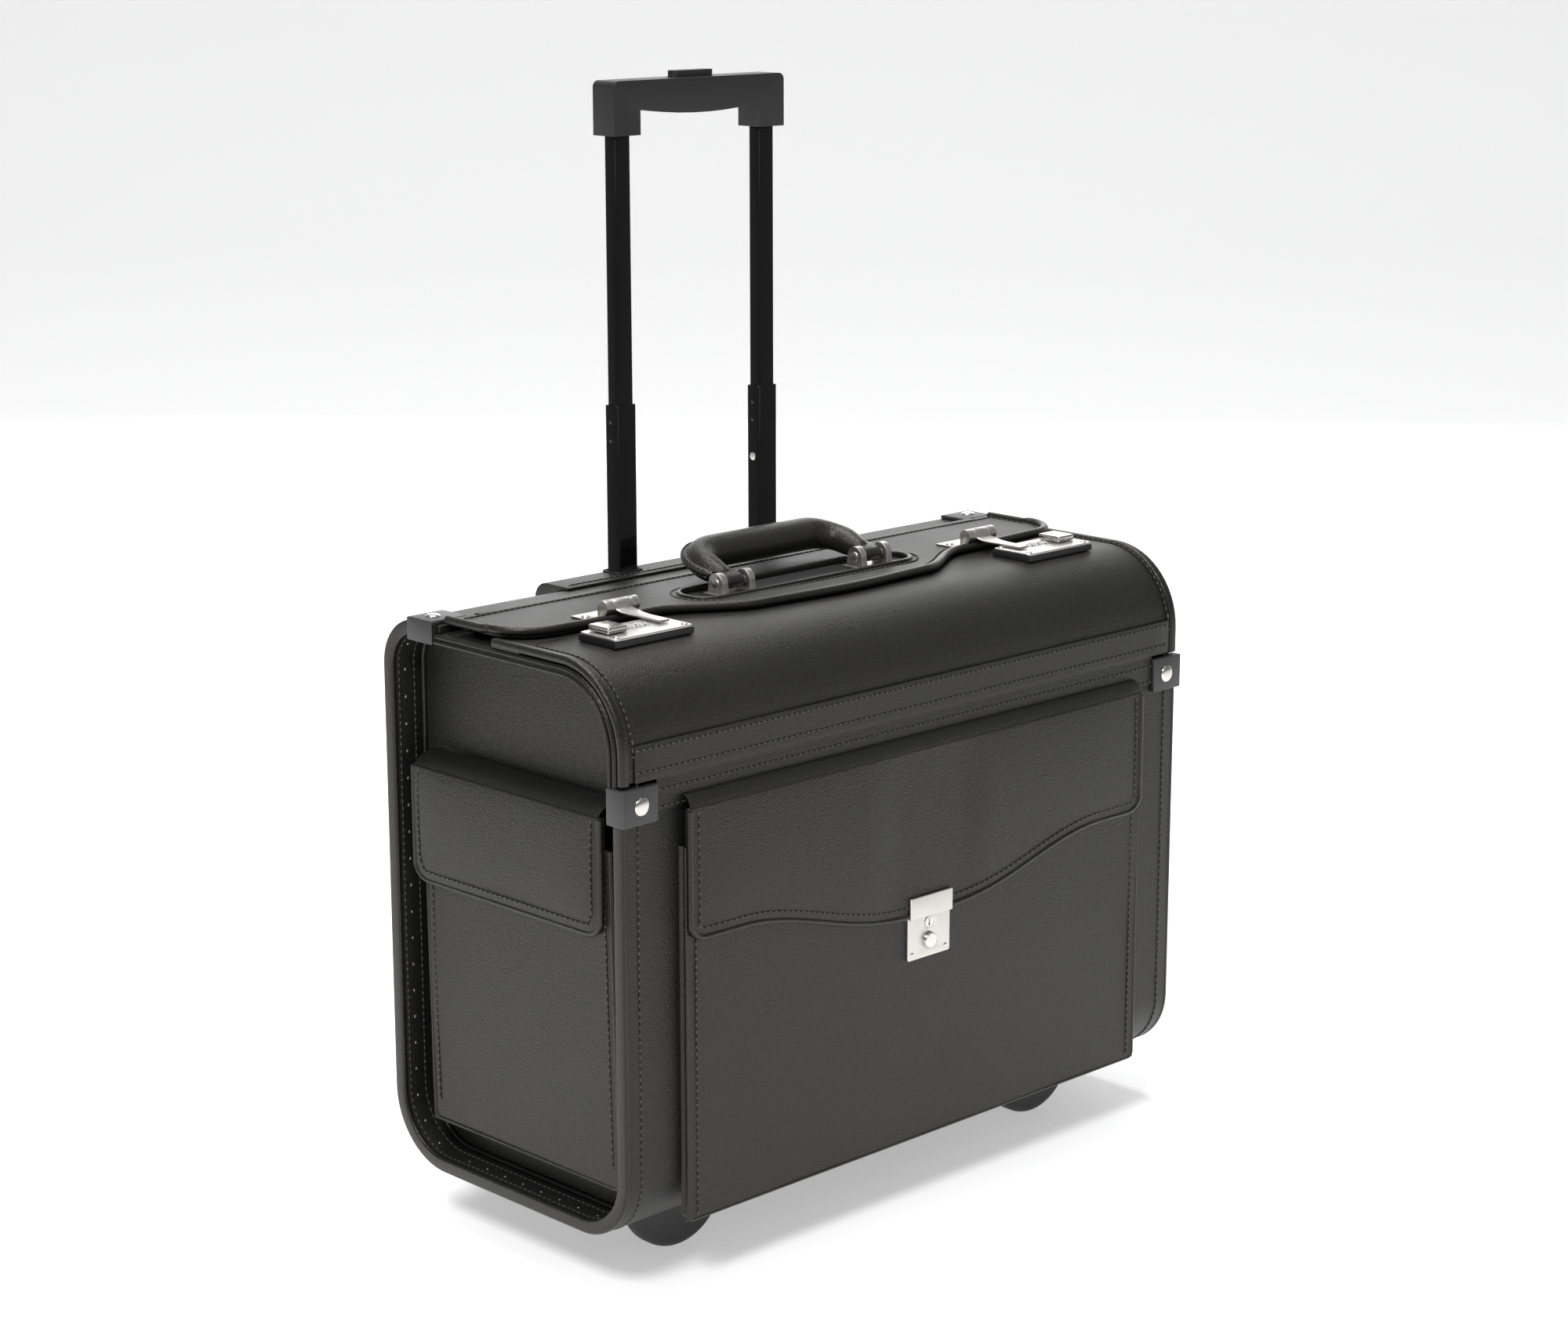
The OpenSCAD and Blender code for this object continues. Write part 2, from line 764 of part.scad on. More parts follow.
module hasp_hinges() {
    base_t = 1;
    side = (barrel_w - knuckle_w) / 2;
    color(nickel) for (s = [-1, 1]) translate([s * hasp_x, 0, 0]) {
        difference() {
            union() {
                block(-barrel_w / 2 - 11, barrel_w / 2, y_barrel - 0.7, y_barrel + 14,
                    z_flap_top, z_flap_top + base_t);
                for (x0 = [-barrel_w / 2, barrel_w / 2 - side]) {
                    x_rod(x0, x0 + side - gap, y_barrel, z_barrel, barrel_r);
                    block(x0, x0 + side - gap, y_barrel - 0.7, y_barrel + 4, z_flap_top, z_barrel);
                }
            }
            x_rod(-barrel_w, barrel_w, y_barrel, z_barrel, hasp_pin_r);
        }
        x_rod(-barrel_w / 2, barrel_w / 2 - gap, y_barrel, z_barrel, hasp_pin_r);
        translate([-barrel_w / 2 - 7, y_barrel + 6, z_flap_top + base_t]) rivet(2.4, 1.2);
    }
}

module hasp(side) {
    arm_t = 1.3;
    z_arm = z_plate_top + gap;
    tip_y = y_lock - 2;
    x0 = side * hasp_x - knuckle_w / 2;
    color(nickel) difference() {
        union() {
            x_rod(x0, x0 + knuckle_w - gap, y_barrel, z_barrel, barrel_r);
            translate([side * hasp_x, 0, z_arm]) linear_extrude(arm_t) polygon([
                [-knuckle_w / 2, y_barrel + 1], [knuckle_w / 2 - gap, y_barrel + 1],
                [knuckle_w / 2 - gap, y_barrel - 9], [4, y_barrel - 20], [4, tip_y],
                [-4, tip_y], [-4, y_barrel - 20], [-knuckle_w / 2, y_barrel - 9]]);
        }
        x_rod(x0 - 1, x0 + knuckle_w + 1, y_barrel, z_barrel, hasp_pin_r + run_fit);
    }
}

module left_hasp() { hasp(-1); }
module right_hasp() { hasp(1); }

// ---- Trolley ----

module rect_tubes(w, d, t, z0, z1) {
    for (s = [-1, 1]) translate([s * tube_x, tube_y, z0]) linear_extrude(z1 - z0) difference() {
        square([w, d], center = true);
        square([w - 2 * t, d - 2 * t], center = true);
    }
}

module outer_tubes() {
    color(plastic) rect_tubes(outer_w, outer_d, 0.9, z_tube, z_cover - 3);
}

module middle_tubes() {
    color("black") rect_tubes(tube_w, tube_d, tube_t, z_mid - mid_l, z_mid);
}

module inner_tubes() {
    color("black") rect_tubes(inner_w, inner_d, 0.9, z_grip - inner_l, z_grip + 13.5);
}

module trolley_cover() {
    nose_r = 10;
    y_nose = y_rear + 2.5 - nose_r;
    color(leather) difference() {
        along_x(-cover_x, cover_x) difference() {
            union() {
                area(y_rear - 28, y_nose, z_top - 30, z_cover);
                area(y_nose, y_rear + 2.5, z_top - 30, z_cover - nose_r);
                translate([y_nose, z_cover - nose_r]) circle(nose_r);
            }
            outline(0);
        }
        tube_holes(outer_w, outer_d, z_bot, z_cover - 3);
        tube_holes(tube_w + 1, tube_d + 1, z_bot, z_cover + 1);
    }
}

module trolley_foot() {
    color(plastic) block(-tube_x - 22, tube_x + 22, tube_y - outer_d / 2, tube_y + outer_d / 2 - 2,
        z_tube - foot_h, z_tube);
}

module lining_panel() {
    panel_t = 1.5;
    y1 = tube_y - outer_d / 2 - 1;
    color(leather) block(-x_panel + 0.5, x_panel - 0.5, y1 - panel_t, y1, z_bot + wheel_r + 5, z_top - 12);
}

// Grip seen from the front: two legs joined by a bar with a crowned underside
module grip_profile() {
    crown = 3.5;
    half = grip_x - leg_w;
    z_under = z_grip + leg_h;
    crown_r = (half * half + crown * crown) / (2 * crown);
    for (s = [-1, 1]) translate([s * (grip_x - leg_w / 2), z_grip + leg_h / 2]) {
        square([leg_w, leg_h], center = true);
    }
    rounded_area(-grip_x, grip_x, z_under - 4, z_grip_top, 4);
    area(-grip_x, -grip_x + leg_w, z_grip, z_under);
    intersection() {
        translate([0, z_under - crown + crown_r]) circle(crown_r, $fn = 200);
        area(-half, half, z_under - crown, z_under + 4);
    }
}

module trolley_grip() {
    half = grip_x - leg_w;
    z_bar = z_grip + leg_h + 3;
    color(plastic) difference() {
        along_y(tube_y - grip_d / 2, tube_y + grip_d / 2) difference() {
            grip_profile();
            difference() {
                area(-half, half, z_grip - 1, z_grip + leg_h);
                grip_crown();
            }
        }
        tube_holes(inner_w, inner_d, z_grip - 1, z_grip + 13.5);
        for (s = [-1, 1]) translate([s * tube_x, tube_y, z_grip]) cylinder(r = 2, h = leg_h + 5);
        block(-tube_x - 5, tube_x + 5, tube_y - 4, tube_y + 4, z_bar, z_bar + 9);
        block(-16.4, 16.4, tube_y - 4.9, tube_y + 4.9, z_bar, z_grip_top + 1);
    }
}

module grip_crown() {
    crown = 3.5;
    half = grip_x - leg_w;
    crown_r = (half * half + crown * crown) / (2 * crown);
    translate([0, z_grip + leg_h - crown + crown_r]) circle(crown_r, $fn = 200);
}

module trolley_button() {
    z_bar = z_grip + leg_h + 3 + button_travel + 0.5;
    color(plastic) {
        translate([0, 0, z_bar]) linear_extrude(z_grip_top + button_travel - z_bar)
            translate([0, tube_y]) rounded_area(-16, 16, -4.5, 4.5, 4);
        block(-tube_x - 3, tube_x + 3, tube_y - 2.5, tube_y + 2.5, z_bar, z_bar + 3);
        for (s = [-1, 1]) translate([s * tube_x, tube_y, z_grip - inner_l + 10])
            cylinder(r = 1.5, h = z_bar - z_grip + inner_l - 10);
    }
}

// ---- Wheels and feet ----

module wheel_housings() {
    well_r = wheel_r + well_gap;
    boss_r = 9;
    color(plastic) for (s = [-1, 1]) difference() {
        along_x(s * wheel_x - housing_w / 2, s * wheel_x + housing_w / 2) {
            intersection() {
                outline(-2);
                translate([y_wheel, wheel_r]) circle(well_r + well_wall);
            }
            translate([y_wheel, wheel_r]) circle(boss_r);
            area(y_wheel - boss_r, y_wheel + boss_r, wheel_r, wheel_r + 20);
        }
        x_rod(s * wheel_x - well_w / 2, s * wheel_x + well_w / 2, y_wheel, wheel_r, well_r);
        x_rod(s * wheel_x - housing_w, s * wheel_x + housing_w, y_wheel, wheel_r, axle_r);
    }
}

module axles() {
    color(nickel) for (s = [-1, 1]) {
        x_rod(s * wheel_x - housing_w / 2 - 1, s * wheel_x + housing_w / 2 + 1, y_wheel, wheel_r, axle_r);
    }
}

tyre_t = 5;

module hub(s) {
    color("dimgray") difference() {
        x_rod(s * wheel_x - wheel_w / 2, s * wheel_x + wheel_w / 2, y_wheel, wheel_r, wheel_r - tyre_t);
        x_rod(s * wheel_x - wheel_w, s * wheel_x + wheel_w, y_wheel, wheel_r, axle_r + run_fit);
        for (e = [-1, 1]) difference() {
            x_rod(s * wheel_x + e * wheel_w / 2 - 3, s * wheel_x + e * wheel_w / 2 + 3,
                y_wheel, wheel_r, wheel_r - tyre_t - 3);
            x_rod(s * wheel_x - wheel_w, s * wheel_x + wheel_w, y_wheel, wheel_r, 8);
        }
    }
}

module tyre(s) {
    edge = 4;
    color(plastic) translate([s * wheel_x, y_wheel, wheel_r]) rotate([0, 90, 0])
        rotate_extrude() difference() {
            translate([0, -wheel_w / 2]) rounded_area(0, wheel_r, 0, wheel_w, edge);
            area(-1, wheel_r - tyre_t, -wheel_w, wheel_w);
        }
}

module left_hub() { hub(-1); }
module right_hub() { hub(1); }
module left_tyre() { tyre(-1); }
module right_tyre() { tyre(1); }

foot_t = 15;
foot_y = y_front + 49;
foot_flat = 0.6;

module front_feet() {
    edge = 5;
    pad_t = 2;
    color(plastic) for (s = [-1, 1]) translate([s * foot_x, foot_y, 0]) {
        intersection() {
            translate([0, foot_t / 2, foot_r - foot_flat]) rotate([90, 0, 0]) rotate_extrude() intersection() {
                rounded_area(-foot_r, foot_r, 0, foot_t, edge);
                area(0, foot_r + 1, -1, foot_t + 1);
            }
            block(-foot_r - 1, foot_r + 1, -foot_t, foot_t, 0, z_bot - pad_t);
        }
        translate([0, 0, z_bot - pad_t]) linear_extrude(pad_t)
            rounded_area(-foot_r - 8, foot_r + 8, -foot_t / 2 - 4, foot_t / 2 + 4, 4);
    }
}

module base_screws() {
    color(nickel) for (s = [-1, 1], e = [-1, 1]) {
        translate([s * foot_x + e * (foot_r + 4), foot_y, z_bot - 3.2]) cylinder(r = 2.8, h = 1.2);
    }
}

front_wall();
base_panel();
rear_wall();
end_rims();
end_panels();
edge_bindings();
corner_clamps();
clamp_rivets();
rim_nails();
hinge_band();
handle_plate();
handle_brackets();
front_pocket();
flap_roots();
tuck_lock_plate();
side_pockets();
trolley_cover();
outer_tubes();
trolley_foot();
lining_panel();
wheel_housings();
axles();
front_feet();
base_screws();
lid_shell();
lid_bindings();
lid_band();
lock_bases();
lock_plates();
lock_rivets();
dial_axles();
left_dial_1();
left_dial_2();
left_dial_3();
right_dial_1();
right_dial_2();
right_dial_3();
left_slider();
right_slider();
flap_panel();
flap_binding();
hasp_hinges();
left_hasp();
right_hasp();
handle_pins();
handle_grip();
front_flap();
tuck_hasp();
tuck_button();
key_barrel();
left_side_flap();
right_side_flap();
middle_tubes();
inner_tubes();
trolley_grip();
trolley_button();
left_hub();
right_hub();
left_tyre();
right_tyre();
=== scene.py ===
"""Looks of the pilot rolling flight case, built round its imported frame."""
import math

import bmesh
import bpy
import numpy as np
from mathutils import Euler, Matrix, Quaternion, Vector


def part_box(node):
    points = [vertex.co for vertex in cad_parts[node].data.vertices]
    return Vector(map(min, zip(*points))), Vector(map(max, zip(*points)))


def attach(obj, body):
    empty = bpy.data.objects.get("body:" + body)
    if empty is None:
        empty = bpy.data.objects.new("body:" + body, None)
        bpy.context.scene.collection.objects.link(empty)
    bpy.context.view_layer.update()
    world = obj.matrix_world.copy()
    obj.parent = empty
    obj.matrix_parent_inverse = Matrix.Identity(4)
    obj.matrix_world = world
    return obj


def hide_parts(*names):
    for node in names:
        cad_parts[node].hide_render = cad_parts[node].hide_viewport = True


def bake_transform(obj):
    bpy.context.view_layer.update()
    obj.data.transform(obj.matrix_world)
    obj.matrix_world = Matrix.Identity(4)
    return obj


bl_info = {
    "name": "Pilot Flight Case",
    "version": (1, 0, 0),
    "blender": (4, 5, 0),
    "location": "3D View > Sidebar > Flight Case",
    "description": "Builds the covering, fittings and trolley of a rolling flight case",
    "category": "Object",
}

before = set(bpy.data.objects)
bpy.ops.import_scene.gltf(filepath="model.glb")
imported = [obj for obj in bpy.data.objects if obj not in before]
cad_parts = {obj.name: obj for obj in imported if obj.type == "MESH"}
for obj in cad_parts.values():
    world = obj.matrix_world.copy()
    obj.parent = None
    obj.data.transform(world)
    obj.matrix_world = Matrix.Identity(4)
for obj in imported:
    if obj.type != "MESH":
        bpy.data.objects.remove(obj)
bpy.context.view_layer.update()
SIDES = (("left", -1), ("right", 1))

# Lines of the case, in millimetres, read from the frame
lo, hi = (1000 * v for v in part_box("edge_bindings"))
X_EDGE = hi.x
Y_FRONT, Y_REAR = lo.y, hi.y
Z_BOT, Z_TOP = lo.z, hi.z
X_SHELL = X_EDGE - 2
X_PANEL = X_EDGE - 26
WALL = 4.5
Z_LID = 1000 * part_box("lid_shell")[0].z
Z_HINGE = Z_LID - 1.2
Y_HINGE = 1000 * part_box("flap_panel")[1].y + 0.3
Y_LID_REAR = Y_HINGE - 62
Y_LID_CORNER = Y_HINGE - 44
Z_FLAP = 1000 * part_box("flap_panel")[0].z
FLAP_X = 1000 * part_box("flap_binding")[1].x
FLAP_SIDE = Y_HINGE - 66
FRONT_R, REAR_R, TOP_R, LID_R = 38, 43, 29, 48
POCKET_X = 1000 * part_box("front_pocket")[1].x
POCKET_Z = [1000 * v.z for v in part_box("front_pocket")]
Y_POCKET = 1000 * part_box("front_pocket")[0].y
SLOT_X, SLOT_R = 74, 14
Y_SLOT = Y_HINGE - 51
WHEEL_X, WHEEL_Y, WHEEL_R = 160, 83.5, 28
FOOT_X = 152
TUBE_X, TUBE_Y = 58, 90.2
LOCK_END_X = 196.5
HASP_X, HASP_PIN_Z = 148.5, 366.2
BUTTON_Z, BUTTON_R = 160, 4.8
KEY_Z, KEY_R = 171, 3.45


class FinishSettings(bpy.types.PropertyGroup):
    covering: bpy.props.FloatVectorProperty(
        name="Covering", description="Colour of the grained covering",
        subtype="COLOR", size=3, min=0, max=1, default=(0.0075, 0.0073, 0.0071))
    thread: bpy.props.FloatVectorProperty(
        name="Thread", description="Colour of the stitching",
        subtype="COLOR", size=3, min=0, max=1, default=(0.055, 0.054, 0.052))
    nickel: bpy.props.FloatVectorProperty(
        name="Nickel", description="Colour of the plated fittings",
        subtype="COLOR", size=3, min=0, max=1, default=(0.63, 0.612, 0.58))
    plastic: bpy.props.FloatVectorProperty(
        name="Moulded plastic", description="Colour of clamps, feet and grip",
        subtype="COLOR", size=3, min=0, max=1, default=(0.008, 0.008, 0.008))
    lacquer: bpy.props.FloatVectorProperty(
        name="Tube lacquer", description="Colour of the trolley tubes",
        subtype="COLOR", size=3, min=0, max=1, default=(0.0025, 0.0025, 0.0025))
    grain: bpy.props.FloatProperty(
        name="Grain", description="Depth of the covering's grain",
        min=0, max=2, default=1, subtype="FACTOR")


class SizeSettings(bpy.types.PropertyGroup):
    stitch_pitch: bpy.props.FloatProperty(
        name="Stitch pitch", description="Distance from one stitch to the next",
        min=0.002, max=0.01, default=0.0042, unit="LENGTH")
    stitch_length: bpy.props.FloatProperty(
        name="Stitch length", description="Length of a stitch that shows",
        min=0.001, max=0.009, default=0.0029, unit="LENGTH")
    stitch_width: bpy.props.FloatProperty(
        name="Stitch width", description="Thickness of the thread",
        min=0.0003, max=0.002, default=0.001, unit="LENGTH")
    nail_pitch: bpy.props.FloatProperty(
        name="Nail pitch", description="Distance between the end frame's nails",
        min=0.006, max=0.04, default=0.016, unit="LENGTH")
    undulation: bpy.props.FloatProperty(
        name="Undulation", description="How far the covered boards are from flat",
        min=0, max=0.002, default=0.0003, unit="LENGTH")


# ---- Shader groups and materials ----

MATS = {}


def new_group(name, inputs, outputs):
    tree = bpy.data.node_groups.new(name, "ShaderNodeTree")
    for label, default in inputs:
        socket = tree.interface.new_socket(name=label, in_out="INPUT", socket_type="NodeSocketFloat")
        socket.default_value = default
    for label, kind in outputs:
        tree.interface.new_socket(name=label, in_out="OUTPUT", socket_type=kind)
    return tree, tree.nodes.new("NodeGroupInput"), tree.nodes.new("NodeGroupOutput")


def node(tree, kind, **settings):
    made = tree.nodes.new(kind)
    for key, value in settings.items():
        setattr(made, key, value)
    return made


def maths(tree, operation, a, b=None):
    made = node(tree, "ShaderNodeMath", operation=operation)
    for i, value in enumerate((a, b)):
        if value is None:
            continue
        if isinstance(value, (int, float)):
            made.inputs[i].default_value = value
        else:
            tree.links.new(value, made.inputs[i])
    return made.outputs[0]


def grain_group():
    """Pebbled grain of a coated cloth: a height, and a mask of the creases between pebbles."""
    tree, inputs, outputs = new_group(
        "Pebble grain", [("Size", 1.1), ("Depth", 1)],
        [("Height", "NodeSocketFloat"), ("Crease", "NodeSocketFloat")])
    link = tree.links.new
    coord = node(tree, "ShaderNodeTexCoord")
    warp = node(tree, "ShaderNodeTexNoise")
    warp.inputs["Scale"].default_value = 260
    warp.inputs["Detail"].default_value = 2
    link(coord.outputs["Object"], warp.inputs["Vector"])
    shift = node(tree, "ShaderNodeVectorMath", operation="SCALE")
    link(warp.outputs["Color"], shift.inputs[0])
    shift.inputs["Scale"].default_value = 0.0011
    moved = node(tree, "ShaderNodeVectorMath", operation="ADD")
    link(coord.outputs["Object"], moved.inputs[0])
    link(shift.outputs[0], moved.inputs[1])
    frequency = maths(tree, "DIVIDE", 1000, inputs.outputs["Size"])
    cells = node(tree, "ShaderNodeTexVoronoi", feature="SMOOTH_F1")
    cells.inputs["Smoothness"].default_value = 0.35
    link(moved.outputs[0], cells.inputs["Vector"])
    link(frequency, cells.inputs["Scale"])
    fine = node(tree, "ShaderNodeTexNoise")
    fine.inputs["Detail"].default_value = 3
    link(coord.outputs["Object"], fine.inputs["Vector"])
    link(maths(tree, "MULTIPLY", frequency, 2.6), fine.inputs["Scale"])
    dome = maths(tree, "SUBTRACT", 1, cells.outputs["Distance"])
    height = maths(tree, "ADD", dome, maths(tree, "MULTIPLY", fine.outputs["Fac"], 0.35))
    link(maths(tree, "MULTIPLY", height, inputs.outputs["Depth"]), outputs.inputs["Height"])
    link(maths(tree, "POWER", cells.outputs["Distance"], 2), outputs.inputs["Crease"])
    return tree


def dust_and_top_light_group():
    """Faint dust and handling, a mask that changes slowly, with painted top light: the mask is up to twice as
    strong on faces that look up, so tops come out lighter.
    """
    tree, inputs, outputs = new_group("Handling", [("Scale", 9), ("Amount", 1)],
        [("Mask", "NodeSocketFloat")])
    link = tree.links.new
    coord = node(tree, "ShaderNodeTexCoord")
    cloud = node(tree, "ShaderNodeTexNoise")
    cloud.inputs["Detail"].default_value = 6
    cloud.inputs["Roughness"].default_value = 0.62
    link(coord.outputs["Object"], cloud.inputs["Vector"])
    link(inputs.outputs["Scale"], cloud.inputs["Scale"])
    geometry = node(tree, "ShaderNodeNewGeometry")
    split = node(tree, "ShaderNodeSeparateXYZ")
    link(geometry.outputs["Normal"], split.inputs[0])
    # Up to twice the mask on faces that look up: painted top light, added to the dust.
    upward = maths(tree, "MAXIMUM", split.outputs["Z"], 0)
    lift = maths(tree, "ADD", maths(tree, "MULTIPLY", upward, 0.5), 0.5)
    mask = maths(tree, "MULTIPLY", maths(tree, "MULTIPLY", cloud.outputs["Fac"], lift),
        inputs.outputs["Amount"])
    link(mask, outputs.inputs["Mask"])
    return tree


def brushed_group():
    """Fine scratches of a plated face: a height and a roughness mask."""
    tree, inputs, outputs = new_group(
        "Plated wear", [("Scale", 900)], [("Height", "NodeSocketFloat"), ("Mask", "NodeSocketFloat")])
    link = tree.links.new
    coord = node(tree, "ShaderNodeTexCoord")
    stretch = node(tree, "ShaderNodeMapping")
    stretch.inputs["Scale"].default_value = (0.06, 1, 1)
    link(coord.outputs["Object"], stretch.inputs["Vector"])
    lines = node(tree, "ShaderNodeTexNoise")
    lines.inputs["Detail"].default_value = 4
    link(stretch.outputs[0], lines.inputs["Vector"])
    link(inputs.outputs["Scale"], lines.inputs["Scale"])
    cloud = node(tree, "ShaderNodeTexNoise")
    cloud.inputs["Scale"].default_value = 120
    cloud.inputs["Detail"].default_value = 5
    link(coord.outputs["Object"], cloud.inputs["Vector"])
    link(lines.outputs["Fac"], outputs.inputs["Height"])
    link(cloud.outputs["Fac"], outputs.inputs["Mask"])
    return tree


def edge_group():
    """Wear where a surface bends outwards."""
    tree, inputs, outputs = new_group("Edge wear", [("From", 0.53), ("To", 0.6)],
        [("Mask", "NodeSocketFloat")])
    link = tree.links.new
    geometry = node(tree, "ShaderNodeNewGeometry")
    ramp = node(tree, "ShaderNodeMapRange")
    link(geometry.outputs["Pointiness"], ramp.inputs["Value"])
    link(inputs.outputs["From"], ramp.inputs["From Min"])
    link(inputs.outputs["To"], ramp.inputs["From Max"])
    link(ramp.outputs[0], outputs.inputs["Mask"])
    return tree


def begin_material(name, roughness, metallic=0.0):
    made = bpy.data.materials.new(name)
    made.use_nodes = True
    tree = made.node_tree
    shader = tree.nodes["Principled BSDF"]
    shader.inputs["Roughness"].default_value = roughness
    shader.inputs["Metallic"].default_value = metallic
    MATS[name] = made
    return tree, shader


def place_group(tree, group, **values):
    made = node(tree, "ShaderNodeGroup", node_tree=bpy.data.node_groups[group])
    for key, value in values.items():
        made.inputs[key.replace("_", " ")].default_value = value
    return made


def mix_colour(tree, mask, low, high, strength=1.0):
    made = node(tree, "ShaderNodeMix", data_type="RGBA")
    tree.links.new(maths(tree, "MULTIPLY", mask, strength), made.inputs["Factor"])
    made.inputs["A"].default_value = (*low, 1)
    made.inputs["B"].default_value = (*high, 1)
    return made.outputs["Result"]


def bump(tree, shader, height, distance, strength=1.0):
    made = node(tree, "ShaderNodeBump")
    made.inputs["Strength"].default_value = strength
    made.inputs["Distance"].default_value = distance
    tree.links.new(height, made.inputs["Height"])
    tree.links.new(made.outputs[0], shader.inputs["Normal"])


def lighter(colour, times, add=0.0):
    return tuple(min(1, c * times + add) for c in colour)


def covering_material(name, colour, size, depth, roughness, lift=1.0):
    tree, shader = begin_material(name, roughness)
    grain = place_group(tree, "Pebble grain", Size=size, Depth=1)
    dust_and_top_light = place_group(tree, "Handling", Scale=11, Amount=1)
    edge = place_group(tree, "Edge wear")
    base = mix_colour(tree, grain.outputs["Crease"], lighter(colour, 1.25), lighter(colour, 0.55))
    # The dust mask lightens the colour: real dust and handling, and painted top light on faces that look up.
    dusty_and_top_lit = node(tree, "ShaderNodeMix", data_type="RGBA")
    tree.links.new(maths(tree, "MULTIPLY", dust_and_top_light.outputs["Mask"], 0.4 * lift), dusty_and_top_lit.inputs["Factor"])
    tree.links.new(base, dusty_and_top_lit.inputs["A"])
    dusty_and_top_lit.inputs["B"].default_value = (*lighter(colour, 2.0, 0.008), 1)
    worn = node(tree, "ShaderNodeMix", data_type="RGBA")
    tree.links.new(maths(tree, "MULTIPLY", edge.outputs["Mask"], 0.35), worn.inputs["Factor"])
    tree.links.new(dusty_and_top_lit.outputs["Result"], worn.inputs["A"])
    worn.inputs["B"].default_value = (*lighter(colour, 2.2, 0.01), 1)
    tree.links.new(worn.outputs["Result"], shader.inputs["Base Color"])
    rough = maths(tree, "ADD", maths(tree, "MULTIPLY", dust_and_top_light.outputs["Mask"], 0.2), roughness - 0.1)
    tree.links.new(rough, shader.inputs["Roughness"])
    shader.inputs["Specular IOR Level"].default_value = 0.42
    shader.inputs["Specular Tint"].default_value = (1, 0.965, 0.925, 1)
    bump(tree, shader, grain.outputs["Height"], 0.00026 * depth)


def metal_material(name, colour, roughness, scratch=0.4):
    tree, shader = begin_material(name, roughness, 1.0)
    wear = place_group(tree, "Plated wear", Scale=1400)
    tint = mix_colour(tree, wear.outputs["Mask"], lighter(colour, 0.86), lighter(colour, 1.08))
    tree.links.new(tint, shader.inputs["Base Color"])
    rough = maths(tree, "ADD", maths(tree, "MULTIPLY", wear.outputs["Mask"], 0.16), roughness - 0.08)
    tree.links.new(rough, shader.inputs["Roughness"])
    bump(tree, shader, wear.outputs["Height"], 0.00003, scratch)


def moulded_material(name, colour, roughness, texture=0.5, scale=2600):
    tree, shader = begin_material(name, roughness)
    coord = node(tree, "ShaderNodeTexCoord")
    spark = node(tree, "ShaderNodeTexNoise")
    spark.inputs["Scale"].default_value = scale
    spark.inputs["Detail"].default_value = 2
    tree.links.new(coord.outputs["Object"], spark.inputs["Vector"])
    # Dust mask: real dust and handling, with painted top light on faces that look up.
    dust_and_top_light = place_group(tree, "Handling", Scale=16, Amount=1)
    edge = place_group(tree, "Edge wear", From=0.52, To=0.62)
    mask = maths(tree, "MAXIMUM", maths(tree, "MULTIPLY", dust_and_top_light.outputs["Mask"], 0.5),
                 maths(tree, "MULTIPLY", edge.outputs["Mask"], 0.35))
    tint = mix_colour(tree, mask, colour, lighter(colour, 2.2, 0.012))
    tree.links.new(tint, shader.inputs["Base Color"])
    rough = maths(tree, "ADD", maths(tree, "MULTIPLY", dust_and_top_light.outputs["Mask"], 0.18), roughness - 0.06)
    tree.links.new(rough, shader.inputs["Roughness"])
    bump(tree, shader, spark.outputs["Fac"], 0.00006, texture)


def lacquer_material(name, colour):
    tree, shader = begin_material(name, 0.2)
    shader.inputs["Specular IOR Level"].default_value = 0.15
    # Dust mask: real dust and handling, with painted top light on faces that look up.
    dust_and_top_light = place_group(tree, "Handling", Scale=22, Amount=1)
    tint = mix_colour(tree, dust_and_top_light.outputs["Mask"], colour, lighter(colour, 1.7, 0.001))
    tree.links.new(tint, shader.inputs["Base Color"])
    rough = maths(tree, "ADD", maths(tree, "MULTIPLY", dust_and_top_light.outputs["Mask"], 0.14), 0.13)
    tree.links.new(rough, shader.inputs["Roughness"])
    shader.inputs["Coat Weight"].default_value = 0.5
    shader.inputs["Coat Roughness"].default_value = 0.06
    coord = node(tree, "ShaderNodeTexCoord")
    peel = node(tree, "ShaderNodeTexNoise")
    peel.inputs["Scale"].default_value = 420
    tree.links.new(coord.outputs["Object"], peel.inputs["Vector"])
    bump(tree, shader, peel.outputs["Fac"], 0.00002, 0.5)


def weave_material(name, colour):
    tree, shader = begin_material(name, 0.85)
    coord = node(tree, "ShaderNodeTexCoord")
    waves = []
    for direction in ("X", "Y", "Z"):
        wave = node(tree, "ShaderNodeTexWave", bands_direction=direction)
        wave.inputs["Scale"].default_value = 330
        wave.inputs["Distortion"].default_value = 0.4
        tree.links.new(coord.outputs["Object"], wave.inputs["Vector"])
        waves.append(wave.outputs["Fac"])
    height = maths(tree, "MULTIPLY", maths(tree, "MULTIPLY", waves[0], waves[1]), waves[2])
    tint = mix_colour(tree, height, lighter(colour, 0.6), lighter(colour, 1.6))
    tree.links.new(tint, shader.inputs["Base Color"])
    bump(tree, shader, height, 0.00015)


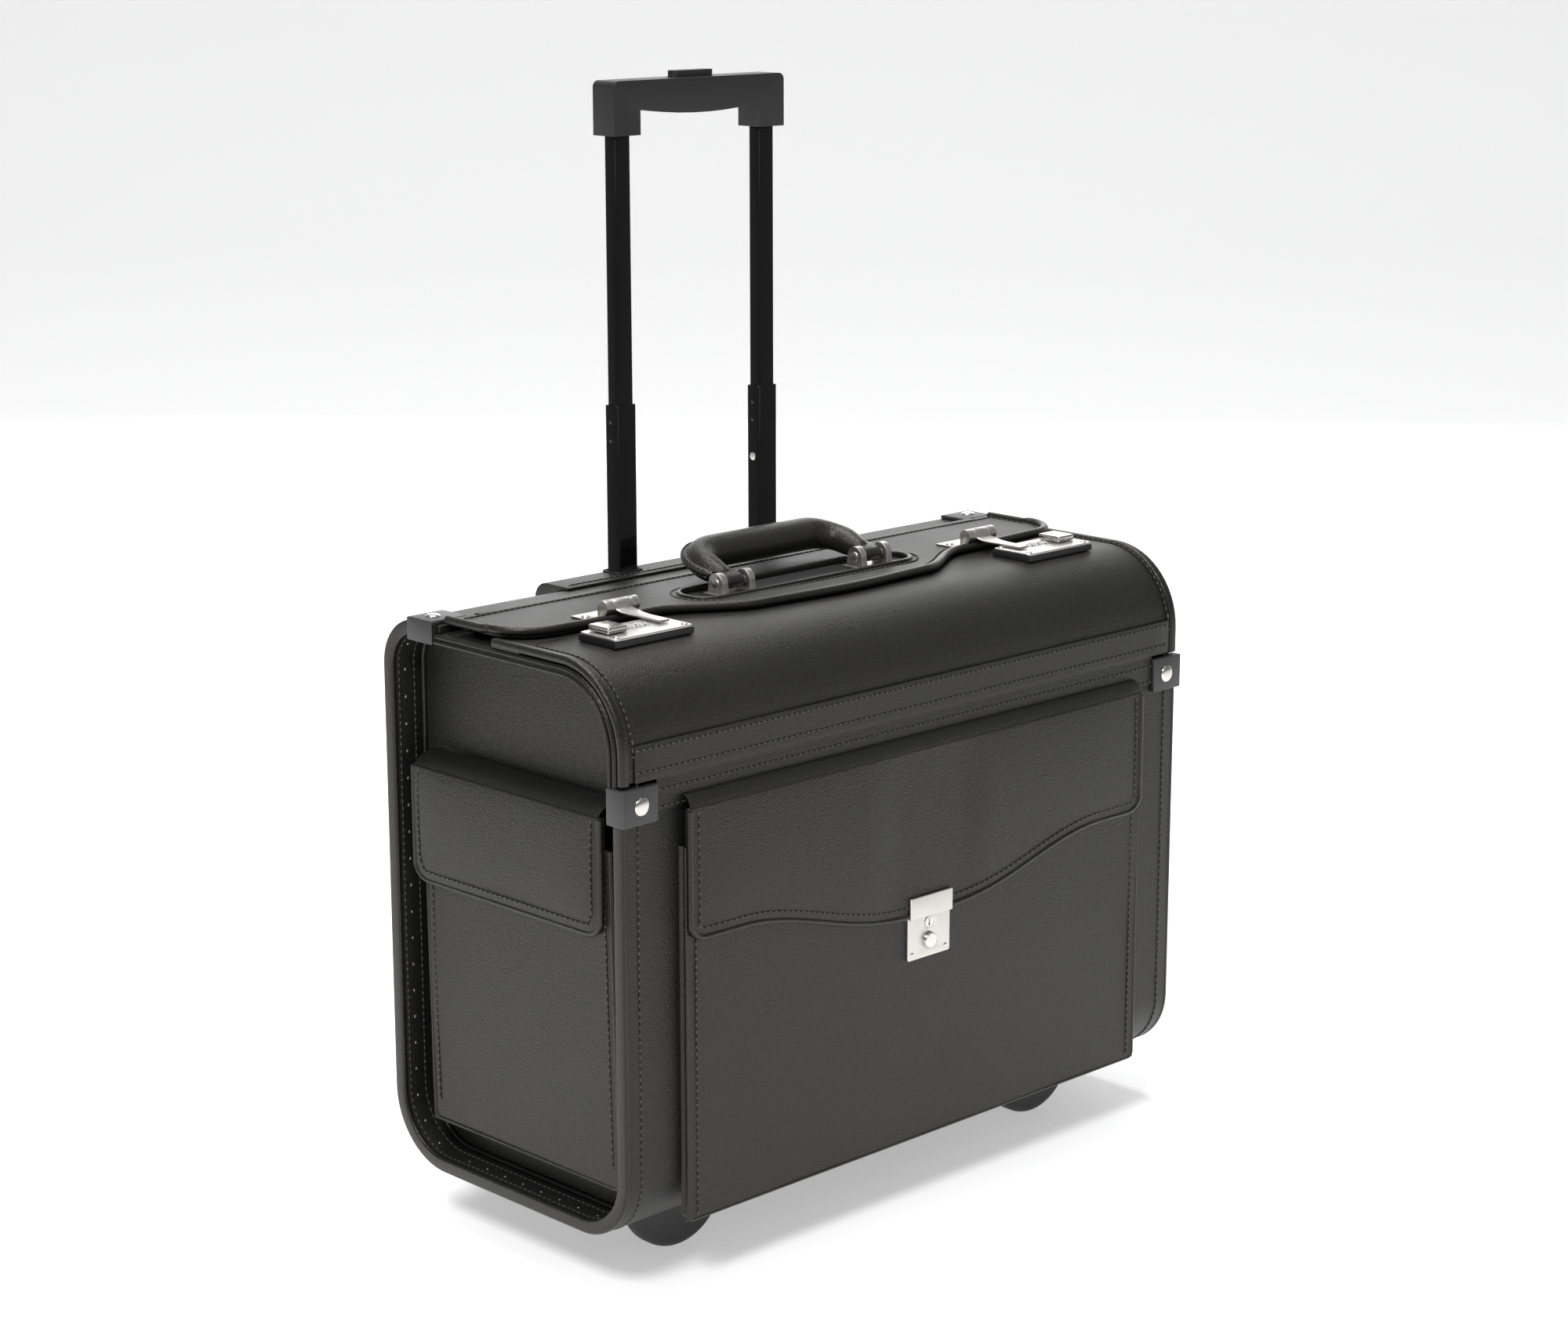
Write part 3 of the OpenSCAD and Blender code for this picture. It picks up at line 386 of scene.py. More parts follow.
class CASE_OT_finishes(bpy.types.Operator):
    """Makes the materials of the case"""
    bl_idname = "flight_case.finishes"
    bl_label = "Finishes"

    def execute(self, context):
        finish = context.scene.case_finish
        grain_group()
        dust_and_top_light_group()
        brushed_group()
        edge_group()
        black = tuple(finish.covering)
        covering_material("covering", black, 0.95, finish.grain, 0.46)
        covering_material("binding", lighter(black, 0.9), 0.8, 0.6 * finish.grain, 0.34)
        covering_material("band", lighter(black, 0.95), 0.8, 0.8 * finish.grain, 0.44)
        covering_material("grip_leather", lighter(black, 2.0), 1.1, 0.8 * finish.grain, 0.36)
        metal_material("nickel", tuple(finish.nickel), 0.36)
        metal_material("nickel_bright", lighter(finish.nickel, 1.08), 0.2, 0.25)
        metal_material("steel_pin", lighter(finish.nickel, 0.8), 0.35)
        moulded_material("plastic", tuple(finish.plastic), 0.5)
        moulded_material("rubber", lighter(finish.plastic, 3.2), 0.6, 0.9, 1500)
        moulded_material("clamp", lighter(finish.plastic, 3.4), 0.42)
        moulded_material("hub", (0.05, 0.05, 0.052), 0.5)
        moulded_material("thread", tuple(finish.thread), 0.6, 0.8, 5000)
        # Near-black colour of the thin tube along each stitch row: painted shade of the stitch holes.
        moulded_material("painted_stitch_shade", (0.0015, 0.0015, 0.0015), 0.8)
        moulded_material("ink", (0.012, 0.012, 0.012), 0.6)
        moulded_material("dial_white", (0.5, 0.49, 0.46), 0.5, 0.2)
        lacquer_material("lacquer", tuple(finish.lacquer))
        weave_material("lining", (0.02, 0.02, 0.022))
        return {"FINISHED"}


# ---- Mesh tools; all in millimetres until a piece is made ----

def settle(obj, name, material, body, replaces=(), slot=None, angle=38):
    obj.name = name
    obj.data.name = name
    obj.data.materials.clear()
    obj.data.materials.append(MATS[material])
    obj.data.shade_smooth()
    obj.data.set_sharp_from_angle(angle=math.radians(angle))
    if body:
        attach(obj, body)
    for n in replaces:
        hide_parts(n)
    return obj


def solid(name, verts, faces, recalc=True):
    mesh = bpy.data.meshes.new(name)
    mesh.from_pydata([(x / 1000, y / 1000, z / 1000) for x, y, z in verts], [], faces)
    obj = bpy.data.objects.new(name, mesh)
    bpy.context.scene.collection.objects.link(obj)
    bm = bmesh.new()
    bm.from_mesh(mesh)
    bmesh.ops.remove_doubles(bm, verts=bm.verts, dist=1e-6)
    if recalc:
        bmesh.ops.recalc_face_normals(bm, faces=bm.faces)
    bm.to_mesh(mesh)
    bm.free()
    return obj


def bake(obj):
    """Turns an object's modifiers into a plain mesh."""
    bpy.context.view_layer.update()
    graph = bpy.context.evaluated_depsgraph_get()
    mesh = bpy.data.meshes.new_from_object(obj.evaluated_get(graph))
    old = obj.data
    obj.modifiers.clear()
    obj.data = mesh
    if old.users == 0:
        bpy.data.meshes.remove(old)
    return obj


def bevelled(obj, width, segments=2, angle=32):
    mod = obj.modifiers.new("Bevel", "BEVEL")
    mod.width = width / 1000
    mod.segments = segments
    mod.limit_method = "ANGLE"
    mod.angle_limit = math.radians(angle)
    mod.harden_normals = False
    mod.use_clamp_overlap = True
    return bake(obj)


def cut(obj, *tools):
    for tool in tools:
        mod = obj.modifiers.new("Cut", "BOOLEAN")
        mod.operation = "DIFFERENCE"
        mod.solver = "EXACT"
        mod.object = tool
    bake(obj)
    for tool in tools:
        bpy.data.objects.remove(tool)
    return obj


def joined(objects):
    bm = bmesh.new()
    for o in objects:
        bm.from_mesh(o.data)
    mesh = bpy.data.meshes.new("joined")
    bm.to_mesh(mesh)
    bm.free()
    for o in objects[1:]:
        bpy.data.objects.remove(o)
    objects[0].data = mesh
    return objects[0]


def refined(name, cad, material, body, width=0.3, segments=2, slot=None, angle=32, merge=0.02):
    """A CAD node's shape with its edges broken, standing for that node."""
    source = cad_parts[cad]
    mesh = source.data.copy()
    bm = bmesh.new()
    bm.from_mesh(mesh)
    bmesh.ops.remove_doubles(bm, verts=bm.verts, dist=merge / 1000)
    bmesh.ops.dissolve_limit(bm, angle_limit=math.radians(1.5), verts=bm.verts, edges=bm.edges)
    bm.to_mesh(mesh)
    bm.free()
    obj = bpy.data.objects.new(name, mesh)
    bpy.context.scene.collection.objects.link(obj)
    if "custom_normal" in mesh.attributes:
        mesh.attributes.remove(mesh.attributes["custom_normal"])
    bevelled(obj, width, segments, angle)
    return settle(obj, name, material, body, (cad,), slot)


def sweep(path, section, closed=False, caps=True):
    """path: (origin, side, up) triples; section: (u, v) loop carried along it."""
    n = len(section)
    verts = [tuple(np.array(o) + u * np.array(s) + v * np.array(w)) for o, s, w in path for u, v in section]
    faces = []
    rows = len(path)
    for i in range(rows if closed else rows - 1):
        a, b = i * n, (i + 1) % rows * n
        for k in range(n):
            m = (k + 1) % n
            faces.append((a + k, a + m, b + m, b + k))
    if caps and not closed:
        faces.append(tuple(range(n)))
        faces.append(tuple(range((rows - 1) * n, rows * n)))
    return verts, faces


def rounded_section(u0, u1, v0, v1, r, arc=3, split=0.0):
    """Rounded rectangle as a loop, its long sides split so that it can undulate."""
    out = []
    for cu, cv, a0 in ((u1 - r, v1 - r, 0), (u0 + r, v1 - r, 90), (u0 + r, v0 + r, 180),
            (u1 - r, v0 + r, 270)):
        for i in range(arc + 1):
            a = math.radians(a0 + 90 * i / arc)
            out.append((cu + r * math.cos(a), cv + r * math.sin(a)))
    if not split:
        return out
    full = []
    for (ua, va), (ub, vb) in zip(out, out[1:] + out[:1]):
        count = max(1, round(math.hypot(ub - ua, vb - va) / split))
        full += [(ua + (ub - ua) * i / count, va + (vb - va) * i / count) for i in range(count)]
    return full


CORNERS = {
    "rear_bottom": (Y_REAR - REAR_R, Z_BOT + REAR_R, REAR_R, -90),
    "rear_top": (Y_REAR - TOP_R, Z_TOP - TOP_R, TOP_R, 0),
    "front_top": (Y_FRONT + LID_R, Z_TOP - LID_R, LID_R, 90),
    "front_bottom": (Y_FRONT + FRONT_R, Z_BOT + FRONT_R, FRONT_R, 180),
}


def trace(start, corners, end, step=9.0, arc_step=6.0):
    """Points (y, z, ny, nz) along the end outline, round the named corners."""
    raw = []
    for name in corners:
        cy, cz, r, a0 = CORNERS[name]
        count = max(2, round(90 / arc_step))
        for i in range(count + 1):
            a = math.radians(a0 + 90 * i / count)
            raw.append((cy + r * math.cos(a), cz + r * math.sin(a), math.cos(a), math.sin(a)))
    points = []
    if start is not None:
        raw.insert(0, (*start, *(raw[0][2:] if raw else (0, -1))))
    if end is not None:
        raw.append((*end, *raw[-1][2:]))
    for p, q in zip(raw, raw[1:]):
        count = max(1, round(math.hypot(q[0] - p[0], q[1] - p[1]) / step))
        points += [tuple(p[k] + (q[k] - p[k]) * i / count for k in range(4)) for i in range(count)]
    points.append(raw[-1])
    return points


def outline_path(points, x=0.0):
    return [((x, y, z), (1, 0, 0), (0, ny, nz)) for y, z, ny, nz in points]


ALL_ROUND = ("rear_bottom", "rear_top", "front_top", "front_bottom")


def loop_points(inset=0.0, step=9.0):
    points = trace(None, ALL_ROUND + ("rear_bottom",), None, step)
    last = len(points) - len(trace(None, ("rear_bottom",), None, step))
    return [(y - inset * ny, z - inset * nz, ny, nz) for y, z, ny, nz in points[:last]]


def wave(x, y, z, size):
    """Slow, repeatable unevenness of a covered board, from -1 to 1 times size."""
    return size * (0.5 * math.sin(x / 41 + 1.3 * math.sin(z / 57)) * math.cos(z / 36 + y / 49)
                   + 0.3 * math.sin(x / 17 + z / 23 + 2) + 0.2 * math.cos(x / 71 - y / 29))


def disc_tool(x0, x1, y, z, r, count=48):
    ring = [(y + r * math.cos(2 * math.pi * i / count), z + r * math.sin(2 * math.pi * i / count))
        for i in range(count)]
    return solid("tool", *sweep([((x, 0, 0), (0, 1, 0), (0, 0, 1)) for x in (x0, x1)], ring))


def box_tool(x0, x1, y0, y1, z0, z1):
    return solid("tool", *sweep([((x, 0, 0), (0, 1, 0), (0, 0, 1)) for x in (x0, x1)],
                                [(y0, z0), (y1, z0), (y1, z1), (y0, z1)]))


def grid_pad(place, nu, nv, t, r, puff=0.0, size=0.0):
    """A closed pad over a patch, its edges rounded with radius r.

    place(u, v, h) gives a point h above its back.
    """
    us = soft_steps(nu)
    vs = soft_steps(nv)
    top, bottom = [], []
    for u in us:
        for v in vs:
            edge = min(u, 1 - u) * place.width
            other = min(v, 1 - v) * place.height
            lift = min(1.0, edge / r), min(1.0, other / r)
            shoulder = math.sqrt(max(0, 1 - (1 - lift[0]) ** 2)) * math.sqrt(max(0, 1 - (1 - lift[1]) ** 2))
            crown = puff * (1 - (2 * u - 1) ** 4) * (1 - (2 * v - 1) ** 4)
            h = t - r * (1 - shoulder) + crown
            p = place(u, v, h)
            if size:
                q = place(u, v, h + wave(*p, size) * shoulder)
                p = q
            top.append(p)
            bottom.append(place(u, v, 0))
    m = len(vs)
    count = len(top)
    faces = []
    for i in range(len(us) - 1):
        for k in range(m - 1):
            a = i * m + k
            faces.append((a, a + 1, a + m + 1, a + m))
            faces.append((count + a, count + a + m, count + a + m + 1, count + a + 1))
    rim = [i * m for i in range(len(us))]
    rim += [(len(us) - 1) * m + k for k in range(1, m)]
    rim += [i * m + m - 1 for i in range(len(us) - 2, -1, -1)]
    rim += [k for k in range(m - 2, 0, -1)]
    for a, b in zip(rim, rim[1:] + rim[:1]):
        faces.append((a, b, count + b, count + a))
    return top + bottom, faces


def soft_steps(n):
    """Steps from 0 to 1, close together at both ends."""
    ends = [0, 0.0012, 0.003, 0.006, 0.011]
    return ends + [0.02 + 0.96 * i / n for i in range(n + 1)] + [1 - e for e in reversed(ends)]


class Patch:
    """A patch in a plane: a(u, v) and b(u, v) in the plane, h along the outward axis."""

    def __init__(self, width, height, func):
        self.width, self.height, self.func = width, height, func

    def __call__(self, u, v, h):
        return self.func(u, v, h)


def ease(t):
    t = min(1, max(0, t))
    return t * t * (3 - 2 * t)


def flap_edge(x):
    return FLAP_SIDE - 26 * ease((128 - abs(x)) / 60) - 5 * ease(max(0, 1 - abs(x) / 95))


def flap_front(x, d=0.0):
    """Front edge of the flap at x, with its two round corners, drawn in by d."""
    corner = 30
    over = abs(x) - (FLAP_X - corner)
    if over <= 0:
        return flap_edge(x) + d
    return FLAP_SIDE + corner - math.sqrt(max(0, (corner - d) ** 2 - over ** 2))


def pocket_edge(x):
    """Lower edge of the front flap at x."""
    half, corner = POCKET_X - 1, 12
    z = POCKET_Z[1] - 53 - 23.5 * ease((150 - abs(x)) / 125) - 1.5 * ease(max(0, 1 - abs(x) / 45))
    over = abs(x) - (half - corner)
    return z if over <= 0 else z + corner - math.sqrt(max(0, corner ** 2 - over ** 2))


# ---- Geometry node trees ----

def node_tree(name, inputs):
    tree = bpy.data.node_groups.new(name, "GeometryNodeTree")
    tree.interface.new_socket(name="Geometry", in_out="INPUT", socket_type="NodeSocketGeometry")
    for label, kind, default in inputs:
        socket = tree.interface.new_socket(name=label, in_out="INPUT", socket_type=kind)
        if default is not None:
            socket.default_value = default
    tree.interface.new_socket(name="Geometry", in_out="OUTPUT", socket_type="NodeSocketGeometry")
    return tree, tree.nodes.new("NodeGroupInput"), tree.nodes.new("NodeGroupOutput")


def finish_tree(tree, geometry, inputs, outputs):
    link = tree.links.new
    real = node(tree, "GeometryNodeRealizeInstances")
    smooth = node(tree, "GeometryNodeSetShadeSmooth")
    paint = node(tree, "GeometryNodeSetMaterial")
    link(geometry, real.inputs["Geometry"])
    link(real.outputs["Geometry"], smooth.inputs["Geometry"])
    link(smooth.outputs["Geometry"], paint.inputs["Geometry"])
    link(inputs.outputs["Material"], paint.inputs["Material"])
    link(paint.outputs["Geometry"], outputs.inputs["Geometry"])


def stitch_tree():
    """Stitches laid end to end along every line of a mesh of edges."""
    tree, inputs, outputs = node_tree("Stitch rows", [
        ("Pitch", "NodeSocketFloat", 0.0042), ("Length", "NodeSocketFloat", 0.003),
        ("Width", "NodeSocketFloat", 0.0009), ("Seed", "NodeSocketInt", 7),
        ("Material", "NodeSocketMaterial", None)])
    link = tree.links.new
    curve = node(tree, "GeometryNodeMeshToCurve")
    spaced = node(tree, "GeometryNodeResampleCurve", mode="LENGTH")
    link(inputs.outputs["Geometry"], curve.inputs["Mesh"])
    link(curve.outputs["Curve"], spaced.inputs["Curve"])
    link(inputs.outputs["Pitch"], spaced.inputs["Length"])
    bead = node(tree, "GeometryNodeMeshUVSphere")
    bead.inputs["Segments"].default_value = 7
    bead.inputs["Rings"].default_value = 5
    bead.inputs["Radius"].default_value = 0.5
    shape = node(tree, "GeometryNodeTransform")
    size = node(tree, "ShaderNodeCombineXYZ")
    link(inputs.outputs["Width"], size.inputs["X"])
    link(inputs.outputs["Width"], size.inputs["Y"])
    link(inputs.outputs["Length"], size.inputs["Z"])
    link(bead.outputs["Mesh"], shape.inputs["Geometry"])
    link(size.outputs[0], shape.inputs["Scale"])
    along = node(tree, "FunctionNodeAlignRotationToVector", axis="Z")
    tangent = node(tree, "GeometryNodeInputTangent")
    jitter = node(tree, "FunctionNodeRandomValue", data_type="FLOAT_VECTOR")
    jitter.inputs["Min"].default_value = (-0.05, -0.05, -0.05)
    jitter.inputs["Max"].default_value = (0.05, 0.05, 0.05)
    link(inputs.outputs["Seed"], jitter.inputs["Seed"])
    lean = node(tree, "ShaderNodeVectorMath", operation="ADD")
    link(tangent.outputs[0], lean.inputs[0])
    link(jitter.outputs["Value"], lean.inputs[1])
    link(lean.outputs[0], along.inputs["Vector"])
    place = node(tree, "GeometryNodeInstanceOnPoints")
    link(spaced.outputs["Curve"], place.inputs["Points"])
    link(shape.outputs["Geometry"], place.inputs["Instance"])
    link(along.outputs["Rotation"], place.inputs["Rotation"])
    finish_tree(tree, place.outputs["Instances"], inputs, outputs)
    return tree


def rivet_tree():
    """Domed heads on every point of a mesh, turned to its facing attribute."""
    tree, inputs, outputs = node_tree("Domed heads", [
        ("Radius", "NodeSocketFloat", 0.003), ("Rise", "NodeSocketFloat", 0.0012),
        ("Seed", "NodeSocketInt", 3), ("Material", "NodeSocketMaterial", None)])
    link = tree.links.new
    head = node(tree, "GeometryNodeMeshUVSphere")
    head.inputs["Segments"].default_value = 20
    head.inputs["Rings"].default_value = 10
    head.inputs["Radius"].default_value = 1
    shape = node(tree, "GeometryNodeTransform")
    size = node(tree, "ShaderNodeCombineXYZ")
    link(inputs.outputs["Radius"], size.inputs["X"])
    link(inputs.outputs["Radius"], size.inputs["Y"])
    link(inputs.outputs["Rise"], size.inputs["Z"])
    link(head.outputs["Mesh"], shape.inputs["Geometry"])
    link(size.outputs[0], shape.inputs["Scale"])
    facing = node(tree, "GeometryNodeInputNamedAttribute", data_type="FLOAT_VECTOR")
    facing.inputs["Name"].default_value = "facing"
    turn = node(tree, "FunctionNodeAlignRotationToVector", axis="Z")
    link(facing.outputs["Attribute"], turn.inputs["Vector"])
    place = node(tree, "GeometryNodeInstanceOnPoints")
    link(inputs.outputs["Geometry"], place.inputs["Points"])
    link(shape.outputs["Geometry"], place.inputs["Instance"])
    link(turn.outputs["Rotation"], place.inputs["Rotation"])
    finish_tree(tree, place.outputs["Instances"], inputs, outputs)
    return tree


def piping_tree():
    """A round bound edge or piping along every line of a mesh of edges."""
    tree, inputs, outputs = node_tree("Bound edge", [
        ("Radius", "NodeSocketFloat", 0.0015), ("Sides", "NodeSocketInt", 12),
        ("Material", "NodeSocketMaterial", None)])
    link = tree.links.new
    curve = node(tree, "GeometryNodeMeshToCurve")
    link(inputs.outputs["Geometry"], curve.inputs["Mesh"])
    ring = node(tree, "GeometryNodeCurvePrimitiveCircle", mode="RADIUS")
    link(inputs.outputs["Sides"], ring.inputs["Resolution"])
    link(inputs.outputs["Radius"], ring.inputs["Radius"])
    tube = node(tree, "GeometryNodeCurveToMesh")
    tube.inputs["Fill Caps"].default_value = True
    link(curve.outputs["Curve"], tube.inputs["Curve"])
    link(ring.outputs["Curve"], tube.inputs["Profile Curve"])
    finish_tree(tree, tube.outputs["Mesh"], inputs, outputs)
    return tree


def run_tree(name, tree, mesh, body, slot, **values):
    """Runs a node tree over a mesh, and leaves a plain mesh that rides on body."""
    obj = bpy.data.objects.new(name, mesh)
    bpy.context.scene.collection.objects.link(obj)
    mod = obj.modifiers.new("Nodes", "NODES")
    mod.node_group = bpy.data.node_groups[tree]
    for item in mod.node_group.interface.items_tree:
        if item.item_type == "SOCKET" and item.in_out == "INPUT" and item.name in values:
            mod[item.identifier] = values[item.name]
    bake(obj)
    if len(obj.data.polygons) == 0:
        raise RuntimeError(f"{name}: the node tree made nothing")
    bm = bmesh.new()
    bm.from_mesh(obj.data)
    bmesh.ops.recalc_face_normals(bm, faces=bm.faces)
    bm.to_mesh(obj.data)
    bm.free()
    material = next(key for key, made in MATS.items() if made == values["Material"])
    return settle(obj, name, material, body, (), slot, 60)


def lines_mesh(rows, closed=False):
    verts, edges = [], []
    for row in rows:
        first = len(verts)
        verts += [(x / 1000, y / 1000, z / 1000) for x, y, z in row]
        edges += [(first + i, first + i + 1) for i in range(len(row) - 1)]
        if closed:
            edges.append((len(verts) - 1, first))
    mesh = bpy.data.meshes.new("lines")
    mesh.from_pydata(verts, edges, [])
    return mesh


def stitches(name, rows, body, **changed):
    size = bpy.context.scene.case_sizes
    values = {"Pitch": size.stitch_pitch, "Length": size.stitch_length, "Width": size.stitch_width, "Seed": 7}
    values.update(changed)
    # A near-black thin tube along each row shows between the stitches: painted shade of the stitch holes.
    run_tree(f"{name}_seam", "Bound edge", lines_mesh(rows), body, "covering", Radius=0.00042, Sides=6,
        Material=MATS["painted_stitch_shade"])
    return run_tree(name, "Stitch rows", lines_mesh(rows), body, "covering", Material=MATS["thread"],
        **values)


def piping(name, rows, body, radius, material="binding", closed=False):
    return run_tree(name, "Bound edge", lines_mesh(rows, closed), body, "covering",
                    Radius=radius / 1000, Material=MATS[material])


def heads(name, points, body, radius, rise, material="nickel", replaces=()):
    mesh = bpy.data.meshes.new("points")
    mesh.from_pydata([(p[0] / 1000, p[1] / 1000, p[2] / 1000) for p, n in points], [], [])
    facing = mesh.attributes.new("facing", "FLOAT_VECTOR", "POINT")
    facing.data.foreach_set("vector", [c for p, n in points for c in n])
    made = run_tree(name, "Domed heads", mesh, body, "nickel", Radius=radius / 1000, Rise=rise / 1000,
                    Material=MATS[material])
    for n in replaces:
        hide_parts(n)
    return made


class CASE_OT_node_trees(bpy.types.Operator):
    """Builds the node trees for stitches, domed heads and bound edges"""
    bl_idname = "flight_case.node_trees"
    bl_label = "Node trees"

    def execute(self, context):
        stitch_tree()
        rivet_tree()
        piping_tree()
        return {"FINISHED"}


# ---- Covered shell ----

class CASE_OT_shell(bpy.types.Operator):
    """Builds the covered front, base and rear in one wrap, with its wells and tube holes"""
    bl_idname = "flight_case.shell"
    bl_label = "Shell"

    def execute(self, context):
        size = 1000 * context.scene.case_sizes.undulation
        run = trace((Y_FRONT, Z_HINGE - 1.2), ("front_bottom", "rear_bottom", "rear_top"),
            (Y_HINGE + 0.4, Z_TOP), 8)
        section = rounded_section(-X_SHELL, X_SHELL, -WALL, 0, 1.2, 2, 12)
        verts, faces = sweep(outline_path(run), section)
        n = len(section)
        moved = []
        for i, p in enumerate(verts):
            y, z, ny, nz = run[i // n]
            v = section[i % n][1]
            lift = wave(*p, size) if v > -1 else 0
            moved.append((p[0], p[1] + lift * ny, p[2] + lift * nz))
        shell = solid("shell_cover", moved, faces)
        wells = [disc_tool(s * WHEEL_X - 15, s * WHEEL_X + 15, WHEEL_Y, WHEEL_R, 32.6) for _, s in SIDES]
        holes = [box_tool(s * TUBE_X - 9.3, s * TUBE_X + 9.3, 83.6, 96.8, 300, 400) for _, s in SIDES]
        cut(shell, *wells, *holes)
        settle(shell, "shell_cover", "covering", "case", ("front_wall", "base_panel", "rear_wall"),
            "covering")
        refined("lining_back", "lining_panel", "lining", "case", 0.2, 1, "covering")
        # Rows stitched near each end, along the front, base and rear
        rows = []
        for s in (-1, 1):
            rows.append([(s * (X_SHELL - 9), y + 0.15 * ny, z + 0.15 * nz) for y, z, ny, nz in run[:-3]])
        stitches("shell_stitches", rows, "case")
        return {"FINISHED"}


class CASE_OT_end_frames(bpy.types.Operator):
    """Builds the recessed end panels, their frames, bound edges, piping, stitches and nails"""
    bl_idname = "flight_case.end_frames"
    bl_label = "End frames"

    def execute(self, context):
        loop = loop_points()
        made = {"rim": [], "panel": [], "binding": []}
        for _, s in SIDES:
            a, b = sorted((s * X_PANEL, s * X_SHELL))
            made["rim"].append(solid("rim",
                *sweep(outline_path(loop), rounded_section(a, b, -7.5, -4.55, 0.8, 2), True)))
            inner = [(y, z) for y, z, _, _ in loop_points(7.6)]
            x0, x1 = sorted((s * X_PANEL, s * (X_PANEL + 3)))
            made["panel"].append(solid("panel",
                *sweep([((x, 0, 0), (0, 1, 0), (0, 0, 1)) for x in (x0, x1)], inner)))
            # Bound edge: over shell and frame below the lid, over the frame alone above it
            lower = trace((Y_FRONT, Z_HINGE - 1.3), ("front_bottom", "rear_bottom", "rear_top"),
                (Y_HINGE + 2.8, Z_TOP), 9)
            a, b = sorted((s * (X_EDGE - 3.6), s * X_EDGE))
            made["binding"].append(solid("binding",
                *sweep(outline_path(lower), rounded_section(a, b, -8, 0.35, 1.6, 4))))
            upper = trace((Y_HINGE + 3, Z_TOP), ("front_top",), (Y_FRONT, Z_HINGE - 2), 9)
            made["binding"].append(solid("binding",
                *sweep(outline_path(upper), rounded_section(a, b, -8, -4.65, 1.2, 3))))
        settle(joined(made["rim"]), "end_frame_faces", "covering", "case", ("end_rims",), "covering")
        settle(joined(made["panel"]), "end_boards", "covering", "case", ("end_panels",), "covering")
        settle(joined(made["binding"]), "end_bindings", "binding", "case", ("edge_bindings",), "covering")
        welt, inner_rows, nails = [], [], []
        for _, s in SIDES:
            welt.append([(s * (X_PANEL + 4.1), y, z) for y, z, _, _ in loop_points(8.6)])
            inner_rows.append([(s * (X_EDGE - 5.2), y, z) for y, z, _, _ in loop_points(7.62)])
            inner_rows.append([(s * (X_EDGE - 16), y, z) for y, z, _, _ in loop_points(7.62)])
            pitch = 1000 * context.scene.case_sizes.nail_pitch
            points = loop_points(7.5, 1.0)
            run = 0.0
            for p, q in zip(points, points[1:]):
                run += math.hypot(q[0] - p[0], q[1] - p[1])
                if run >= pitch:
                    run -= pitch
                    nails.append(((s * (X_EDGE - 10), q[0], q[1]), (0, -q[2], -q[3])))
        piping("end_board_piping", welt, "case", 1.5, closed=True)
        rows = [row + row[:1] for row in inner_rows]
        stitches("end_frame_stitches", rows, "case")
        heads("end_frame_nails", nails, "case", 0.95, 0.4, "steel_pin", ("rim_nails",))
        upper_welt = []
        for _, s in SIDES:
            for inset, out in ((6.2, 0.7), (9.3, 0.2)):
                path = trace((Y_HINGE + 3, Z_TOP), ("front_top",), (Y_FRONT, Z_HINGE - 2), 6)
                upper_welt.append([(s * (X_EDGE - out), y - inset * ny, z - inset * nz) for y, z, ny,
                    nz in path])
        piping("end_top_piping", upper_welt, "case", 1.15)
        return {"FINISHED"}


# ---- Front lid ----

